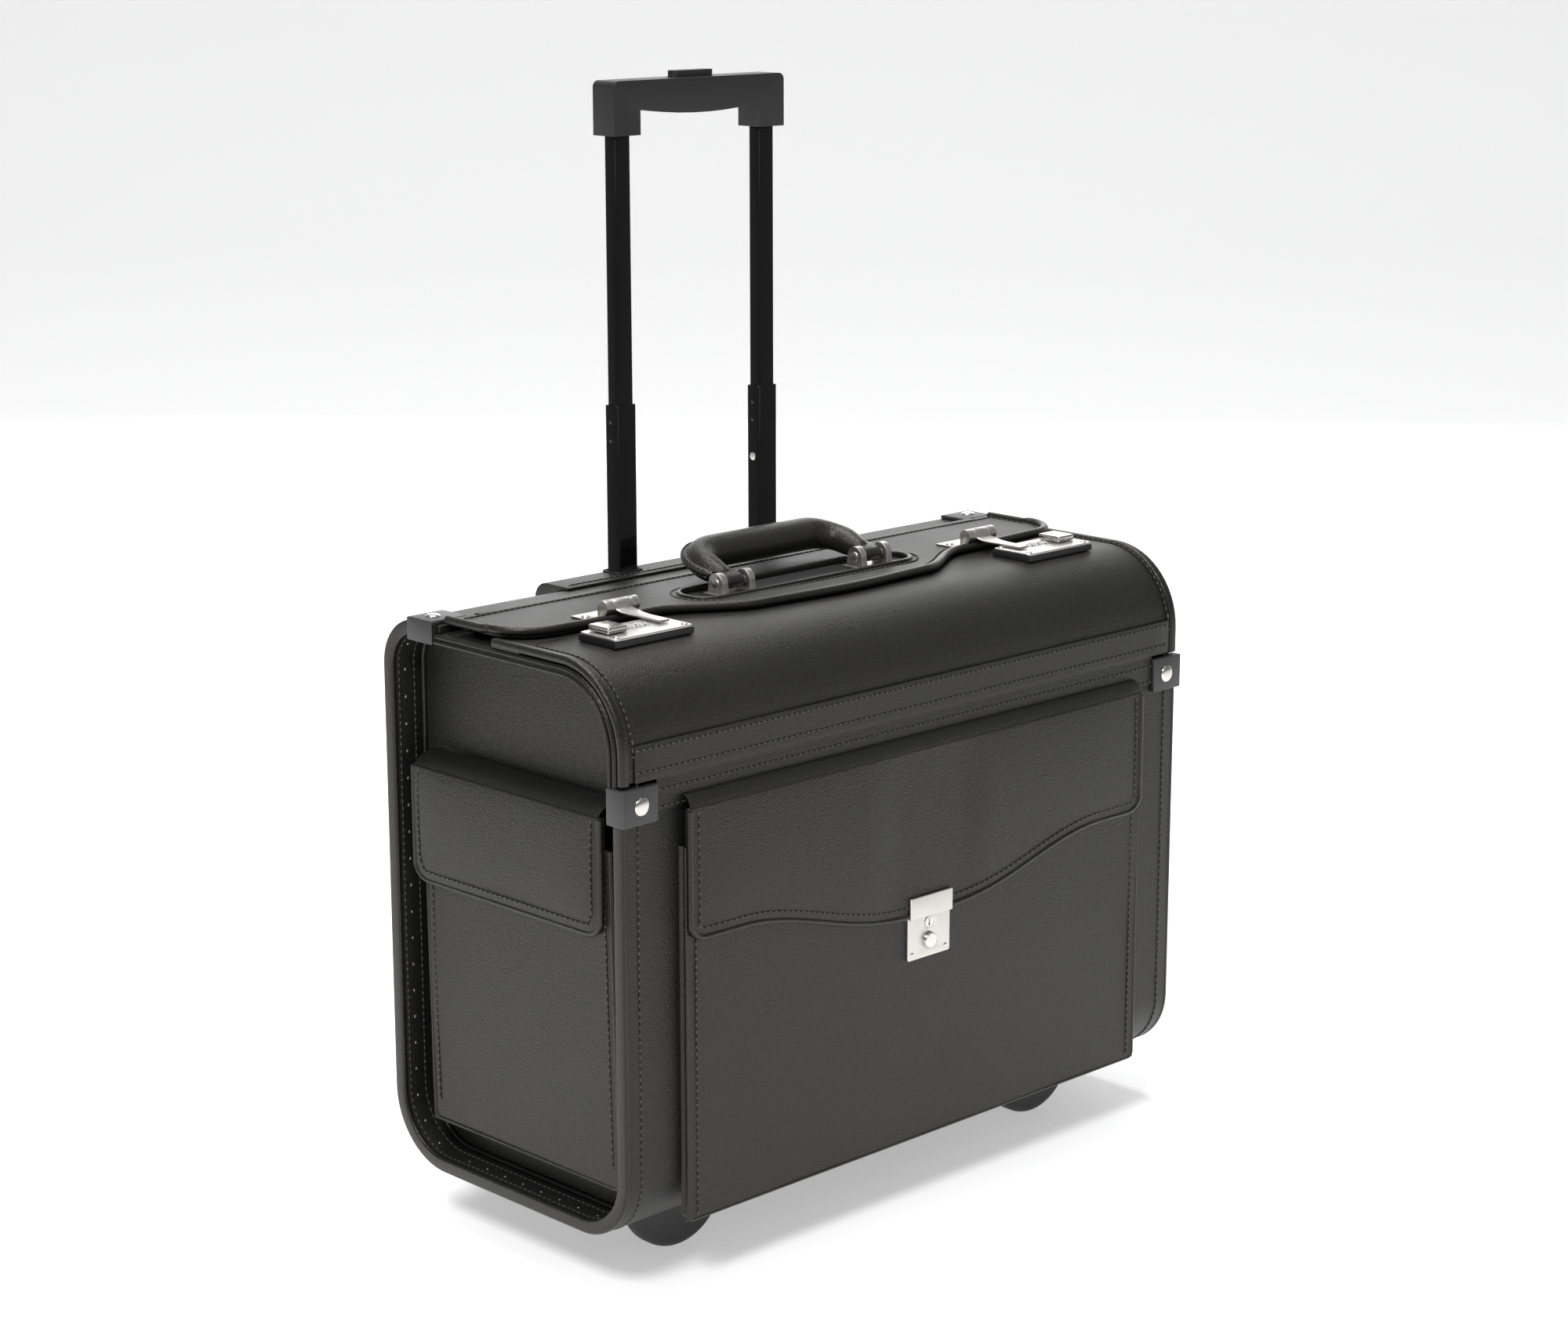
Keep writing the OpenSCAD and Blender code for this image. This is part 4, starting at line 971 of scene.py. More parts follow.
class CASE_OT_front_lid(bpy.types.Operator):
    """Builds the bowed front lid with its bound end edges and stitches"""
    bl_idname = "flight_case.front_lid"
    bl_label = "Front lid"

    def execute(self, context):
        size = 1000 * context.scene.case_sizes.undulation
        run = trace((Y_LID_REAR, Z_TOP), ("front_top",), (Y_FRONT, Z_LID), 7)
        section = rounded_section(-X_SHELL, X_SHELL, -4.2, 0, 1.2, 2, 10)
        verts, faces = sweep(outline_path(run), section)
        n = len(section)
        moved = []
        for i, p in enumerate(verts):
            y, z, ny, nz = run[i // n]
            lift = wave(*p, size) - size if section[i % n][1] > -1 else 0
            moved.append((p[0], p[1] + lift * ny, p[2] + lift * nz))
        lid = solid("lid_cover", moved, faces)
        tools = []
        for _, s in SIDES:
            x = s * (LOCK_END_X - 30.5)
            tools.append(box_tool(x - 12.2, x + 12.2, -46.7, -35.3, 340, 358))
        cut(lid, *tools)
        settle(lid, "lid_cover", "covering", "front_lid", ("lid_shell",), "covering")
        # The ends run on beside the flap, along the flap's round corner
        corners, bound, rows = [], [], []
        for _, s in SIDES:
            loop = []
            for i in range(13):
                x = 198 + (FLAP_X + 0.3 - 198) * i / 12
                y = FLAP_SIDE + 30 - math.sqrt(max(0, 30.3 ** 2 - (x - (FLAP_X - 30)) ** 2))
                loop.append((x, min(y, Y_LID_CORNER)))
            ends = [(FLAP_X + 0.35, Y_LID_CORNER)]
            for i in range(7):
                a = math.radians(90 - 90 * i / 6)
                ends.append((X_EDGE - 3.6 + 3.2 * math.cos(a), Y_LID_CORNER - 4 + 4 * math.sin(a)))
            ends += [(X_EDGE - 0.4, Y_LID_REAR - 8), (198, Y_LID_REAR - 8)]
            plan = [(s * x, y) for x, y in loop + ends]
            corners.append(bevelled(solid("corner", *sweep(
                [((0, 0, z), (1, 0, 0), (0, 1, 0)) for z in (Z_TOP - 4.15, Z_TOP - 0.15)], plan)), 0.5, 2))
            edge = trace((Y_LID_CORNER - 3, Z_TOP), ("front_top",), (Y_FRONT, Z_LID - 1.1), 6)
            a, b = sorted((s * (X_EDGE - 6), s * X_EDGE))
            bound.append(solid("bound", *sweep(outline_path(edge), rounded_section(a, b, -4.2, 0.9, 2.2, 5))))
            inner = trace((Y_LID_REAR - 12, Z_TOP), ("front_top",), (Y_FRONT, Z_LID + 22), 6)
            rows.append([(s * (X_EDGE - 8.4), y + 0.1 * ny, z + 0.1 * nz) for y, z, ny, nz in inner])
        settle(joined(corners), "lid_rear_corners", "covering", "front_lid", (), "covering")
        settle(joined(bound), "lid_bound_edges", "binding", "front_lid", ("lid_bindings",), "covering")
        stitches("lid_stitches", rows, "front_lid")
        return {"FINISHED"}


class CASE_OT_front_band(bpy.types.Operator):
    """Builds the band over the lid's hinge line"""
    bl_idname = "flight_case.front_band"
    bl_label = "Hinge band"

    def execute(self, context):
        z0, z1 = Z_HINGE - 17, Z_HINGE + 4
        half = X_EDGE - 24.3
        wide = X_EDGE - 9
        levels = np.unique(np.concatenate([np.linspace(z0, Z_HINGE - 6, 7),
            np.linspace(Z_HINGE - 6, Z_HINGE + 6, 17),
                                           [z1]]))
        levels = levels[levels <= z1]
        path = []
        for z in levels:
            ridge = 0.25 * math.exp(-((z - Z_HINGE) / 3) ** 2)
            path.append(((0, Y_FRONT - 0.2 + ridge, z), (1, 0, 0), (0, -1, 0)))
        section = rounded_section(-half, half, -0.1, 1.0, 0.45, 2, 14)
        band = solid("front_hinge_band", *sweep(path, section))
        settle(band, "front_hinge_band", "band", None, ("hinge_band", "lid_band"), "covering")
        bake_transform(band)
        path = [((0, Y_FRONT - 0.2, z), (1, 0, 0), (0, -1, 0))
            for z in np.linspace(Z_HINGE + 0.6, Z_TOP - LID_R + 6, 8)]
        upper = bevelled(solid("lid_band_strip",
            *sweep(path, rounded_section(-wide, wide, -0.1, 1.05, 0.45, 2, 14))), 0.3, 2)
        settle(upper, "lid_band_strip", "band", "front_lid", (), "covering")
        y = Y_FRONT - 1.3
        for body, heights in (("case", (Z_HINGE - 15.2, Z_HINGE - 5.4)),
                ("front_lid", (Z_HINGE + 6, Z_HINGE + 18.3))):
            end = half - 2 if body == "case" else wide - 2
            rows = [[(x, y, z) for x in np.linspace(-end, end, 40)] for z in heights]
            stitches(f"band_stitches_{body}", rows, body)
        return {"FINISHED"}


# ---- Rear flap and carry handle ----

class CASE_OT_rear_flap(bpy.types.Operator):
    """Builds the rear flap with its ogee front, rolled edge, handle slot and stitches"""
    bl_idname = "flight_case.rear_flap"
    bl_label = "Rear flap"

    def execute(self, context):
        size = 1000 * context.scene.case_sizes.undulation

        def place(u, v, h):
            x = (2 * u - 1) * (FLAP_X - 2.4)
            front = flap_front(x, 2.2)
            rear = Y_HINGE - 0.4
            return (x, rear + (front - rear) * v, Z_FLAP + h)

        panel = solid("flap_cover", *grid_pad(Patch(2 * FLAP_X, 80, place), 88, 18, 3.05, 0.6, 0.0, size))
        ring = stadium_points(SLOT_X, SLOT_R + 1.2)
        tool = solid("tool", *sweep([((0, Y_SLOT, z), (1, 0, 0), (0, 1, 0)) for z in (350, 370)], ring))
        cut(panel, tool)
        settle(panel, "flap_cover", "covering", "rear_flap", ("flap_panel",), "covering")
        xs = flap_xs()
        edge = [(x, flap_front(x, 2.6), Z_FLAP + 2.6 + flap_rise(x)) for x in xs]
        ends = [[(s * (FLAP_X - 2.6), y, Z_FLAP + 2.6) for y in np.linspace(Y_HINGE - 1, FLAP_SIDE + 30, 8)]
            for s in (-1, 1)]
        row = ends[0][:-1] + edge + ends[1][::-1][1:]
        roll = piping("flap_rolled_edge", [row], "rear_flap", 2.65, "binding")
        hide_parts("flap_binding")
        inset = 8
        rows = [[(x, flap_front(x, inset), Z_FLAP + 3.15) for x in xs if abs(x) < FLAP_X - inset]]
        for s in (-1, 1):
            rows.append([(s * (FLAP_X - inset), y, Z_FLAP + 3.15)
                for y in np.linspace(FLAP_SIDE + 31, Y_HINGE - 8, 12)])
        rows.append([(x, Y_HINGE - 7, Z_FLAP + 3.15)
            for x in np.linspace(inset - FLAP_X, FLAP_X - inset, 60)])
        slot = stadium_points(SLOT_X, SLOT_R + 6.4)
        rows.append([(x, y + Y_SLOT, Z_FLAP + 3.15) for x, y in slot + slot[:1]])
        stitches("flap_stitches", rows, "rear_flap")
        # Raised frame round the handle's slot
        ring = stadium_points(SLOT_X, SLOT_R + 1.5)
        lip = []
        for i, (x, y) in enumerate(ring):
            nx, ny = ring_normal(x, y, SLOT_X)
            lip.append(((x, y + Y_SLOT, Z_FLAP), (nx, ny, 0), (0, 0, 1)))
        frame_ring = solid("slot_frame", *sweep(lip, rounded_section(-1.6, 1.6, 0.2, 4.6, 1.3, 4), True))
        settle(frame_ring, "slot_frame", "binding", "rear_flap", (), "covering")
        refined("slot_floor", "handle_plate", "plastic", "rear_flap", 0.2, 1, "nickel")
        # Covering that carries on over the hinge line
        hinge = []
        for i in range(15):
            t = i / 14
            y = Y_HINGE - 6 + 13 * t
            z = Z_FLAP + 3.25 - 3.0 * ease((t - 0.3) / 0.62)
            hinge.append(((0, y, z), (1, 0, 0), (0, 0, 1)))
        strip = solid("rear_hinge_strip", *sweep(hinge, rounded_section(-204, 204, -0.5, 0.35, 0.3, 2, 16)))
        settle(strip, "rear_hinge_strip", "covering", None, (), "covering")
        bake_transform(strip)
        return {"FINISHED"}


def flap_rise(x):
    """The rolled edge stands a little higher at the flap's two ends."""
    return 0.9 * ease((abs(x) - 150) / 60)


def flap_xs():
    ends = [FLAP_X - 30 + 27.69 * math.sin(math.radians(a)) for a in range(0, 91, 6)]
    middle = list(np.linspace(-(FLAP_X - 31), FLAP_X - 31, 120))
    return [-x for x in reversed(ends)] + middle + ends


def stadium_points(half, r, step=9):
    points = [(x, r) for x in np.linspace(half, -half, 30)]
    points += [(-half - r * math.sin(math.radians(a)), r * math.cos(math.radians(a)))
        for a in range(step, 180, step)]
    points += [(x, -r) for x in np.linspace(-half, half, 30)]
    points += [(half + r * math.sin(math.radians(a)), -r * math.cos(math.radians(a)))
        for a in range(step, 180, step)]
    return points


def ring_normal(x, y, half):
    if abs(x) <= half:
        return 0, (1 if y > 0 else -1)
    dx = x - math.copysign(half, x)
    size = math.hypot(dx, y)
    return dx / size, y / size


class CASE_OT_carry_handle(bpy.types.Operator):
    """Builds the padded handle with its stitched flange, tabs and pins"""
    bl_idname = "flight_case.carry_handle"
    bl_label = "Carry handle"

    def execute(self, context):
        y0, z0, lean = Y_HINGE - 55, Z_TOP + 9, math.radians(-76)
        half, top, bend = 57, 39, 19

        def turned(x, w, n):
            """A point of the upright handle, x along, w up and n across, in its stowed place."""
            y, z = -n, w
            return (x, y0 + y * math.cos(lean) - z * math.sin(lean),
                z0 + y * math.sin(lean) + z * math.cos(lean))

        line = [(-half, w) for w in np.linspace(3, top - bend, 6)]
        line += [(-half + bend - bend * math.cos(math.radians(a)),
            top - bend + bend * math.sin(math.radians(a)))
                 for a in range(9, 90, 9)]
        line += [(x, top) for x in np.linspace(bend - half, half - bend, 16)]
        line += [(-x, w) for x, w in reversed(line[:-16])]
        total = len(line)
        verts, rows = [], []
        for i, (x, w) in enumerate(line):
            before, after = line[max(0, i - 1)], line[min(total - 1, i + 1)]
            tx, tw = after[0] - before[0], after[1] - before[1]
            size = math.hypot(tx, tw)
            nx, nw = -tw / size, tx / size
            t = min(i, total - 1 - i) / (total / 2)
            r = 5.6 + 3.0 * ease(t * 4) + 1.8 * ease((t - 0.3) * 3)
            if i in (0, total - 1):
                r = 3.2
            wing = 3.2 * ease((t - 0.04) * 9)
            section = [(r * math.cos(math.radians(a)), r * math.sin(math.radians(a)))
                for a in range(22, 339, 15)]
            section += [(r + 0.1 - 0.05 * wing, -2.1), (r + 0.7 * wing, -1.7), (r + wing, -0.9),
                (r + wing, 0.9),
                        (r + 0.7 * wing, 1.7), (r + 0.1 - 0.05 * wing, 2.1)]
            ring_count = len(section)
            for out, across in section:
                verts.append(turned(x + out * nx, w + out * nw, 0.96 * across))
            if 2 < i < total - 3:
                rows.append((x + (r + 1.9) * nx, w + (r + 1.9) * nw))
        faces = []
        for i in range(total - 1):
            for k in range(ring_count):
                m = (k + 1) % ring_count
                faces.append((i * ring_count + k, i * ring_count + m, (i + 1) * ring_count + m,
                    (i + 1) * ring_count + k))
        faces += [tuple(range(ring_count)), tuple(range((total - 1) * ring_count, total * ring_count))]
        grip = solid("handle_pad", verts, faces)
        mod = grip.modifiers.new("Smooth", "SUBSURF")
        mod.levels = mod.render_levels = 1
        bake(grip)
        settle(grip, "handle_pad", "grip_leather", "carry_handle", ("handle_grip",), "covering", 70)
        both = [[turned(x, w, n) for x, w in rows] for n in (-1.75, 1.75)]
        stitches("handle_stitches", both, "carry_handle", Pitch=0.0036, Length=0.0026)
        tabs = []
        for s in (-1, 1):
            loop = [(4.3 * math.cos(math.radians(a)), 4.3 * math.sin(math.radians(a)))
                for a in range(180, 361, 15)]
            loop += [(4.0, 6), (3.4, 11), (-3.4, 11), (-4.0, 6)]
            path = [((s * half + d, 0, 0), (0, 1, 0), (0, 0, 1)) for d in (-6.9, 6.9)]
            verts, faces = sweep(path, loop)
            verts = [turned(x, z, y) for x, y, z in verts]
            tabs.append(bevelled(solid("tab", verts, faces), 0.9, 3))
        settle(joined(tabs), "handle_tabs", "grip_leather", "carry_handle", (), "covering")
        refined("handle_pin_rods", "handle_pins", "steel_pin", "carry_handle", 0.35, 2, "nickel")
        refined("handle_brackets_cast", "handle_brackets", "nickel", "rear_flap", 0.9, 3, "nickel")
        ends = [((s * half + e * 13.1, y0, z0), (e, 0, 0)) for s in (-1, 1) for e in (-1, 1)]
        heads("handle_pin_heads", ends, "carry_handle", 3.1, 0.9, "nickel")
        return {"FINISHED"}


# ---- Locks and hasps ----

class CASE_OT_locks(bpy.types.Operator):
    """Builds the two combination locks with number wheels and slide buttons"""
    bl_idname = "flight_case.locks"
    bl_label = "Locks"

    def execute(self, context):
        refined("lock_trays", "lock_bases", "plastic", "front_lid", 0.5, 2, "black_plastic")
        refined("lock_faces", "lock_plates", "nickel", "front_lid", 0.55, 3, "nickel")
        refined("dial_rods", "dial_axles", "steel_pin", "front_lid", 0.1, 1, "nickel")
        z_plate = 1000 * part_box("lock_plates")[1].z
        points = []
        for _, s in SIDES:
            outer = s * LOCK_END_X
            for x, y in ((54, -11.5), (54, 11.5), (4, -11.5)):
                points.append(((outer - s * x, -45 + y, z_plate), (0, 0, 1)))
        heads("lock_rivet_heads", points, "front_lid", 1.9, 0.85, "nickel_bright", ("lock_rivets",))
        for side, s in SIDES:
            refined(f"{side}_slide_cap", f"{side}_slider", "nickel_bright", f"{side}_slide_button", 0.9, 3,
                "nickel")
            for i in (1, 2, 3):
                self.number_wheel(side, i)
        return {"FINISHED"}

    def number_wheel(self, side, i):
        cad = f"{side}_dial_{i}"
        body = f"{side}_dial_{'abc'[i - 1]}"
        low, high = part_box(cad)
        x = 1000 * (low.x + high.x) / 2
        y, z = 1000 * (low.y + high.y) / 2, 1000 * (low.z + high.z) / 2
        half, r = 1000 * (high.x - low.x) / 2, 1000 * (high.z - low.z) / 2
        rings = [(-half, 0.85), (-half, r - 0.45), (-half + 0.35, r - 0.05), (half - 0.35, r - 0.05),
            (half, r - 0.45), (half, 0.85)]
        count = 60
        verts = []
        for u, radius in rings:
            for k in range(count):
                a = 2 * math.pi * k / count
                notch = 0.22 if k % 6 == 3 and radius > 2 else 0
                verts.append((x + u, y + (radius - notch) * math.sin(a), z + (radius - notch) * math.cos(a)))
        faces = []
        for q in range(len(rings)):
            a, b = q * count, (q + 1) % len(rings) * count
            for k in range(count):
                m = (k + 1) % count
                faces.append((a + k, a + m, b + m, b + k))
        wheel = solid(f"{cad}_wheel", verts, faces)
        settle(wheel, f"{cad}_wheel", "dial_white", body, (cad,), "nickel", 30)
        digits = []
        for d in range(10):
            curve = bpy.data.curves.new("digit", "FONT")
            curve.body = str((d + 3 * i + 1) % 10)
            curve.size = 0.0029
            curve.extrude = 0.00004
            curve.resolution_u = 2
            curve.align_x, curve.align_y = "CENTER", "CENTER"
            text = bpy.data.objects.new("digit", curve)
            bpy.context.scene.collection.objects.link(text)
            bpy.context.view_layer.update()
            graph = bpy.context.evaluated_depsgraph_get()
            mesh = bpy.data.meshes.new_from_object(text.evaluated_get(graph))
            bpy.data.objects.remove(text)
            angle = 2 * math.pi * d / 10
            for v in mesh.vertices:
                u, w, h = v.co
                a = angle - w / (r / 1000)
                rr = r / 1000 + h
                v.co = (x / 1000 + u, y / 1000 - rr * math.sin(-a), z / 1000 + rr * math.cos(a))
            obj = bpy.data.objects.new("digit", mesh)
            bpy.context.scene.collection.objects.link(obj)
            digits.append(obj)
        made = joined(digits)
        bm = bmesh.new()
        bm.from_mesh(made.data)
        bmesh.ops.remove_doubles(bm, verts=bm.verts, dist=1e-7)
        bmesh.ops.recalc_face_normals(bm, faces=bm.faces)
        bm.to_mesh(made.data)
        bm.free()
        settle(made, f"{cad}_digits", "ink", body, (), "nickel")


class CASE_OT_hasps(bpy.types.Operator):
    """Builds the two hasps, their rolled hinges and rivets"""
    bl_idname = "flight_case.hasps"
    bl_label = "Hasps"

    def execute(self, context):
        refined("hasp_leaves", "hasp_hinges", "nickel", "rear_flap", 0.35, 2, "nickel")
        z_arm = 1000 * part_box("left_hasp")[0].z
        for side, s in SIDES:
            x = s * HASP_X
            barrel_y, barrel_z = Y_HINGE - 60, HASP_PIN_Z
            stations = [(-9, 6.35, HASP_PIN_Z + 3.0), (-13.5, 6.35, 365.6), (-18, 6.3, 364.6),
                (-24, 5.0, 364.1),
                        (-30, 4.3, 363.95), (-38, 4.1, 363.9), (-44, 4.0, 363.85), (-46.6, 3.7, 363.8)]
            verts = []
            for y, w, z in stations:
                section = rounded_section(-w, w, -1.35, 0, 0.55, 3)
                for u, v in section:
                    verts.append((x + u, y, max(z + v, z_arm + (0.0 if y < -16 else 0.4))))
            n = len(section)
            faces = []
            for i in range(len(stations) - 1):
                for k in range(n):
                    m = (k + 1) % n
                    faces.append((i * n + k, i * n + m, (i + 1) * n + m, (i + 1) * n + k))
            faces += [tuple(range(n)), tuple(range((len(stations) - 1) * n, len(stations) * n))]
            arm = solid("arm", verts, faces)
            ring = [(barrel_y + 4.3 * math.cos(math.radians(a)), barrel_z + 4.3 * math.sin(math.radians(a)))
                for a in range(0, 360, 10)]
            barrel = bevelled(solid("barrel", *sweep(
                [((x + d, 0, 0), (0, 1, 0), (0, 0, 1)) for d in (-6.5, 6.2)], ring)), 0.35, 2)
            made = joined([arm, barrel])
            settle(made, f"{side}_hasp_arm_plate", "nickel", f"{side}_hasp_arm", (f"{side}_hasp",), "nickel")
        points = [((s * HASP_X - 19.5, -3, 361.5), (0, 0, 1)) for _, s in SIDES]
        heads("hasp_rivet_heads", points, "rear_flap", 2.7, 1.1, "nickel_bright")
        return {"FINISHED"}


# ---- Outside pockets ----

class CASE_OT_front_pocket(bpy.types.Operator):
    """Builds the front pocket with its gusset, flap, piping and lock"""
    bl_idname = "flight_case.front_pocket"
    bl_label = "Front pocket"

    def execute(self, context):
        size = 1000 * context.scene.case_sizes.undulation
        z0, z1 = POCKET_Z
        half = POCKET_X

        def place(u, v, h):
            x = (2 * u - 1) * half
            z = z1 + (z0 - z1) * v
            return (x, Y_POCKET + 1.9 - h, z)

        face = solid("pocket_face", *grid_pad(Patch(2 * half, z1 - z0, place), 46, 30, 1.9, 0.8, 0.0, size))
        cut(face, *self.lock_bores(Y_POCKET - 1, Y_POCKET + 4))
        settle(face, "pocket_face", "covering", "case", ("front_pocket",), "covering")
        # Gusset folded in a V on three sides
        run = [(-half + 1.2, z, -1, 0) for z in np.linspace(z1, z0 + 5, 24)]
        for a in range(0, 91, 15):
            c, s = math.cos(math.radians(a)), math.sin(math.radians(a))
            run.append((-half + 5 - 3.8 * c, z0 + 5 - 3.8 * s, -c, -s))
        run += [(x, z0 + 1.2, 0, -1) for x in np.linspace(-half + 6, half - 6, 40)]
        run += [(-x, z, -nx, nz) for x, z, nx, nz in reversed(run[:31])]
        path = [((x, 0, z), (nx, 0, nz), (0, 1, 0)) for x, z, nx, nz in run]
        fold = [(0, Y_POCKET + 0.8), (0.7, Y_POCKET + 1.7), (-1.5, Y_POCKET + 3.4), (0.7, Y_POCKET + 5.0),
            (0.9, Y_POCKET + 6.1),
                (-0.5, Y_POCKET + 6.1), (-0.4, Y_POCKET + 5.0), (-2.7, Y_POCKET + 3.4),
                (-0.4, Y_POCKET + 1.7), (-1, Y_POCKET + 0.8)]
        gusset = solid("pocket_gusset", *sweep(path, fold))
        settle(gusset, "pocket_gusset", "binding", "case", (), "covering", 50)
        edge = [(x, Y_POCKET + 0.5, z) for x, z, _, _ in run]
        edge = [(-half + 0.6, Y_POCKET + 0.6, z) for z in np.linspace(z1, z0 + 4, 20)]
        edge += [(-half + 4 - 3.4 * math.cos(math.radians(a)), Y_POCKET + 0.6,
            z0 + 4 - 3.4 * math.sin(math.radians(a))) for a in range(10, 90, 10)]
        edge += [(x, Y_POCKET + 0.6, z0 + 0.6) for x in np.linspace(-half + 5, half - 5, 30)]
        edge += [(-x, y, z) for x, y, z in reversed(edge[:28])]
        piping("pocket_piping", [edge], "case", 1.0)
        rows = [[(s * (half - 7), Y_POCKET - 0.15, z) for z in np.linspace(z1 - 5, z0 + 4, 30)]
            for s in (-1, 1)]
        stitches("pocket_stitches", rows, "case")
        self.flap(size)
        self.lock()
        return {"FINISHED"}

    def lock_bores(self, y0, y1):
        tools = []
        for z, r in ((BUTTON_Z, BUTTON_R), (KEY_Z, KEY_R)):
            ring = [(r * math.cos(math.radians(a)), z + r * math.sin(math.radians(a)))
                for a in range(0, 360, 10)]
            tools.append(solid("tool", *sweep([((0, y, 0), (1, 0, 0), (0, 0, 1)) for y in (y0, y1)], ring)))
        return tools

    def flap(self, size):
        half = POCKET_X - 1
        y_back = 1000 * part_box("front_flap")[1].y
        t = 1000 * (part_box("front_flap")[1].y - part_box("front_flap")[0].y)
        top = 1000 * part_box("front_flap")[1].z

        def crown(x, v):
            u = abs(x / half)
            return 1 + 0.9 * (1 - min(1, u) ** 10) * math.sin(math.pi * min(1,
                max(0, v))) ** 0.6 * ease((abs(x) - 22) / 30)

        def on_face(x, z):
            v = (top - z) / (top - pocket_edge(x))
            return (x, y_back - t * crown(x, v) - 0.1, z)

        def place(u, v, h):
            x = (2 * u - 1) * half
            low = pocket_edge(x)
            if abs(x) < 18.3:
                low = 180
            return (x, y_back - h * crown(x, v), top + (low - top) * v)

        flap = solid("pocket_flap_cover",
            *grid_pad(Patch(2 * half, 75, place), 100, 16, t, 0.8, 0.0, size * 0.7))
        settle(flap, "pocket_flap_cover", "covering", "pocket_flap", ("front_flap",), "covering")
        xs = [x for x in np.linspace(-half + 1.2, half - 1.2, 150)]
        y = y_back - t
        edge = [(x, y + 0.7, pocket_edge(x) + 0.9) for x in xs]
        left = [(-half + 1.0, y + 0.7, z) for z in np.linspace(top - 2, edge[0][2] + 3, 10)]
        split = [i for i, p in enumerate(edge) if abs(p[0]) > 18.6]
        first = [edge[i] for i in split if edge[i][0] < 0]
        last = [edge[i] for i in split if edge[i][0] > 0]
        right = [(-x, yy, z) for x, yy, z in reversed(left)]
        rolled = [left + first, last + right]
        piping("pocket_flap_piping", rolled, "pocket_flap", 1.9)
        under = [[(p[0] * 0.998, y_back + 1.0, p[2] + 0.5) for p in row] for row in rolled]
        piping("pocket_flap_backing", under, "pocket_flap", 1.3)
        rows = []
        for s in (-1, 1):
            rows.append([on_face(x, pocket_edge(x) + 6.5) for x in np.linspace(s * (half - 8), s * 20, 90)])
            rows.append([on_face(s * (half - 6.5), z)
                for z in np.linspace(pocket_edge(half - 8) + 8, top - 4, 24)])
        stitches("pocket_flap_stitches", rows, "pocket_flap")
        # Covering sewn on above the flap
        hinge = []
        for i in range(13):
            t1 = i / 12
            z = top - 3 + 10 * math.sin(t1 * math.pi / 2)
            yy = y + 0.7 + (Y_FRONT - 0.6 - (y + 0.7)) * (1 - math.cos(t1 * math.pi / 2))
            hinge.append(((0, yy, z), (1, 0, 0), (0, -1, 0)))
        strip = solid("pocket_hinge_strip",
            *sweep(hinge, rounded_section(1.5 - half, half - 1.5, -0.6, 0.6, 0.4, 2, 16)))
        settle(strip, "pocket_hinge_strip", "covering", None, ("flap_roots",), "covering")
        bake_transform(strip)

    def lock(self):
        refined("tuck_lock_face", "tuck_lock_plate", "nickel", "case", 0.5, 3, "nickel")
        refined("tuck_hasp_face", "tuck_hasp", "nickel", "pocket_flap", 0.55, 3, "nickel")
        refined("tuck_button_cap", "tuck_button", "nickel_bright", "pocket_button", 0.6, 3, "nickel")
        refined("tuck_key_barrel", "key_barrel", "nickel_bright", "pocket_key", 0.25, 2, "nickel")
        points = [((x, Y_POCKET - 1.5, z), (0, -1, 0)) for x, z in ((-14, 153.4), (14, 153.4))]
        heads("tuck_lock_rivets", points, "case", 1.5, 0.6, "nickel_bright")


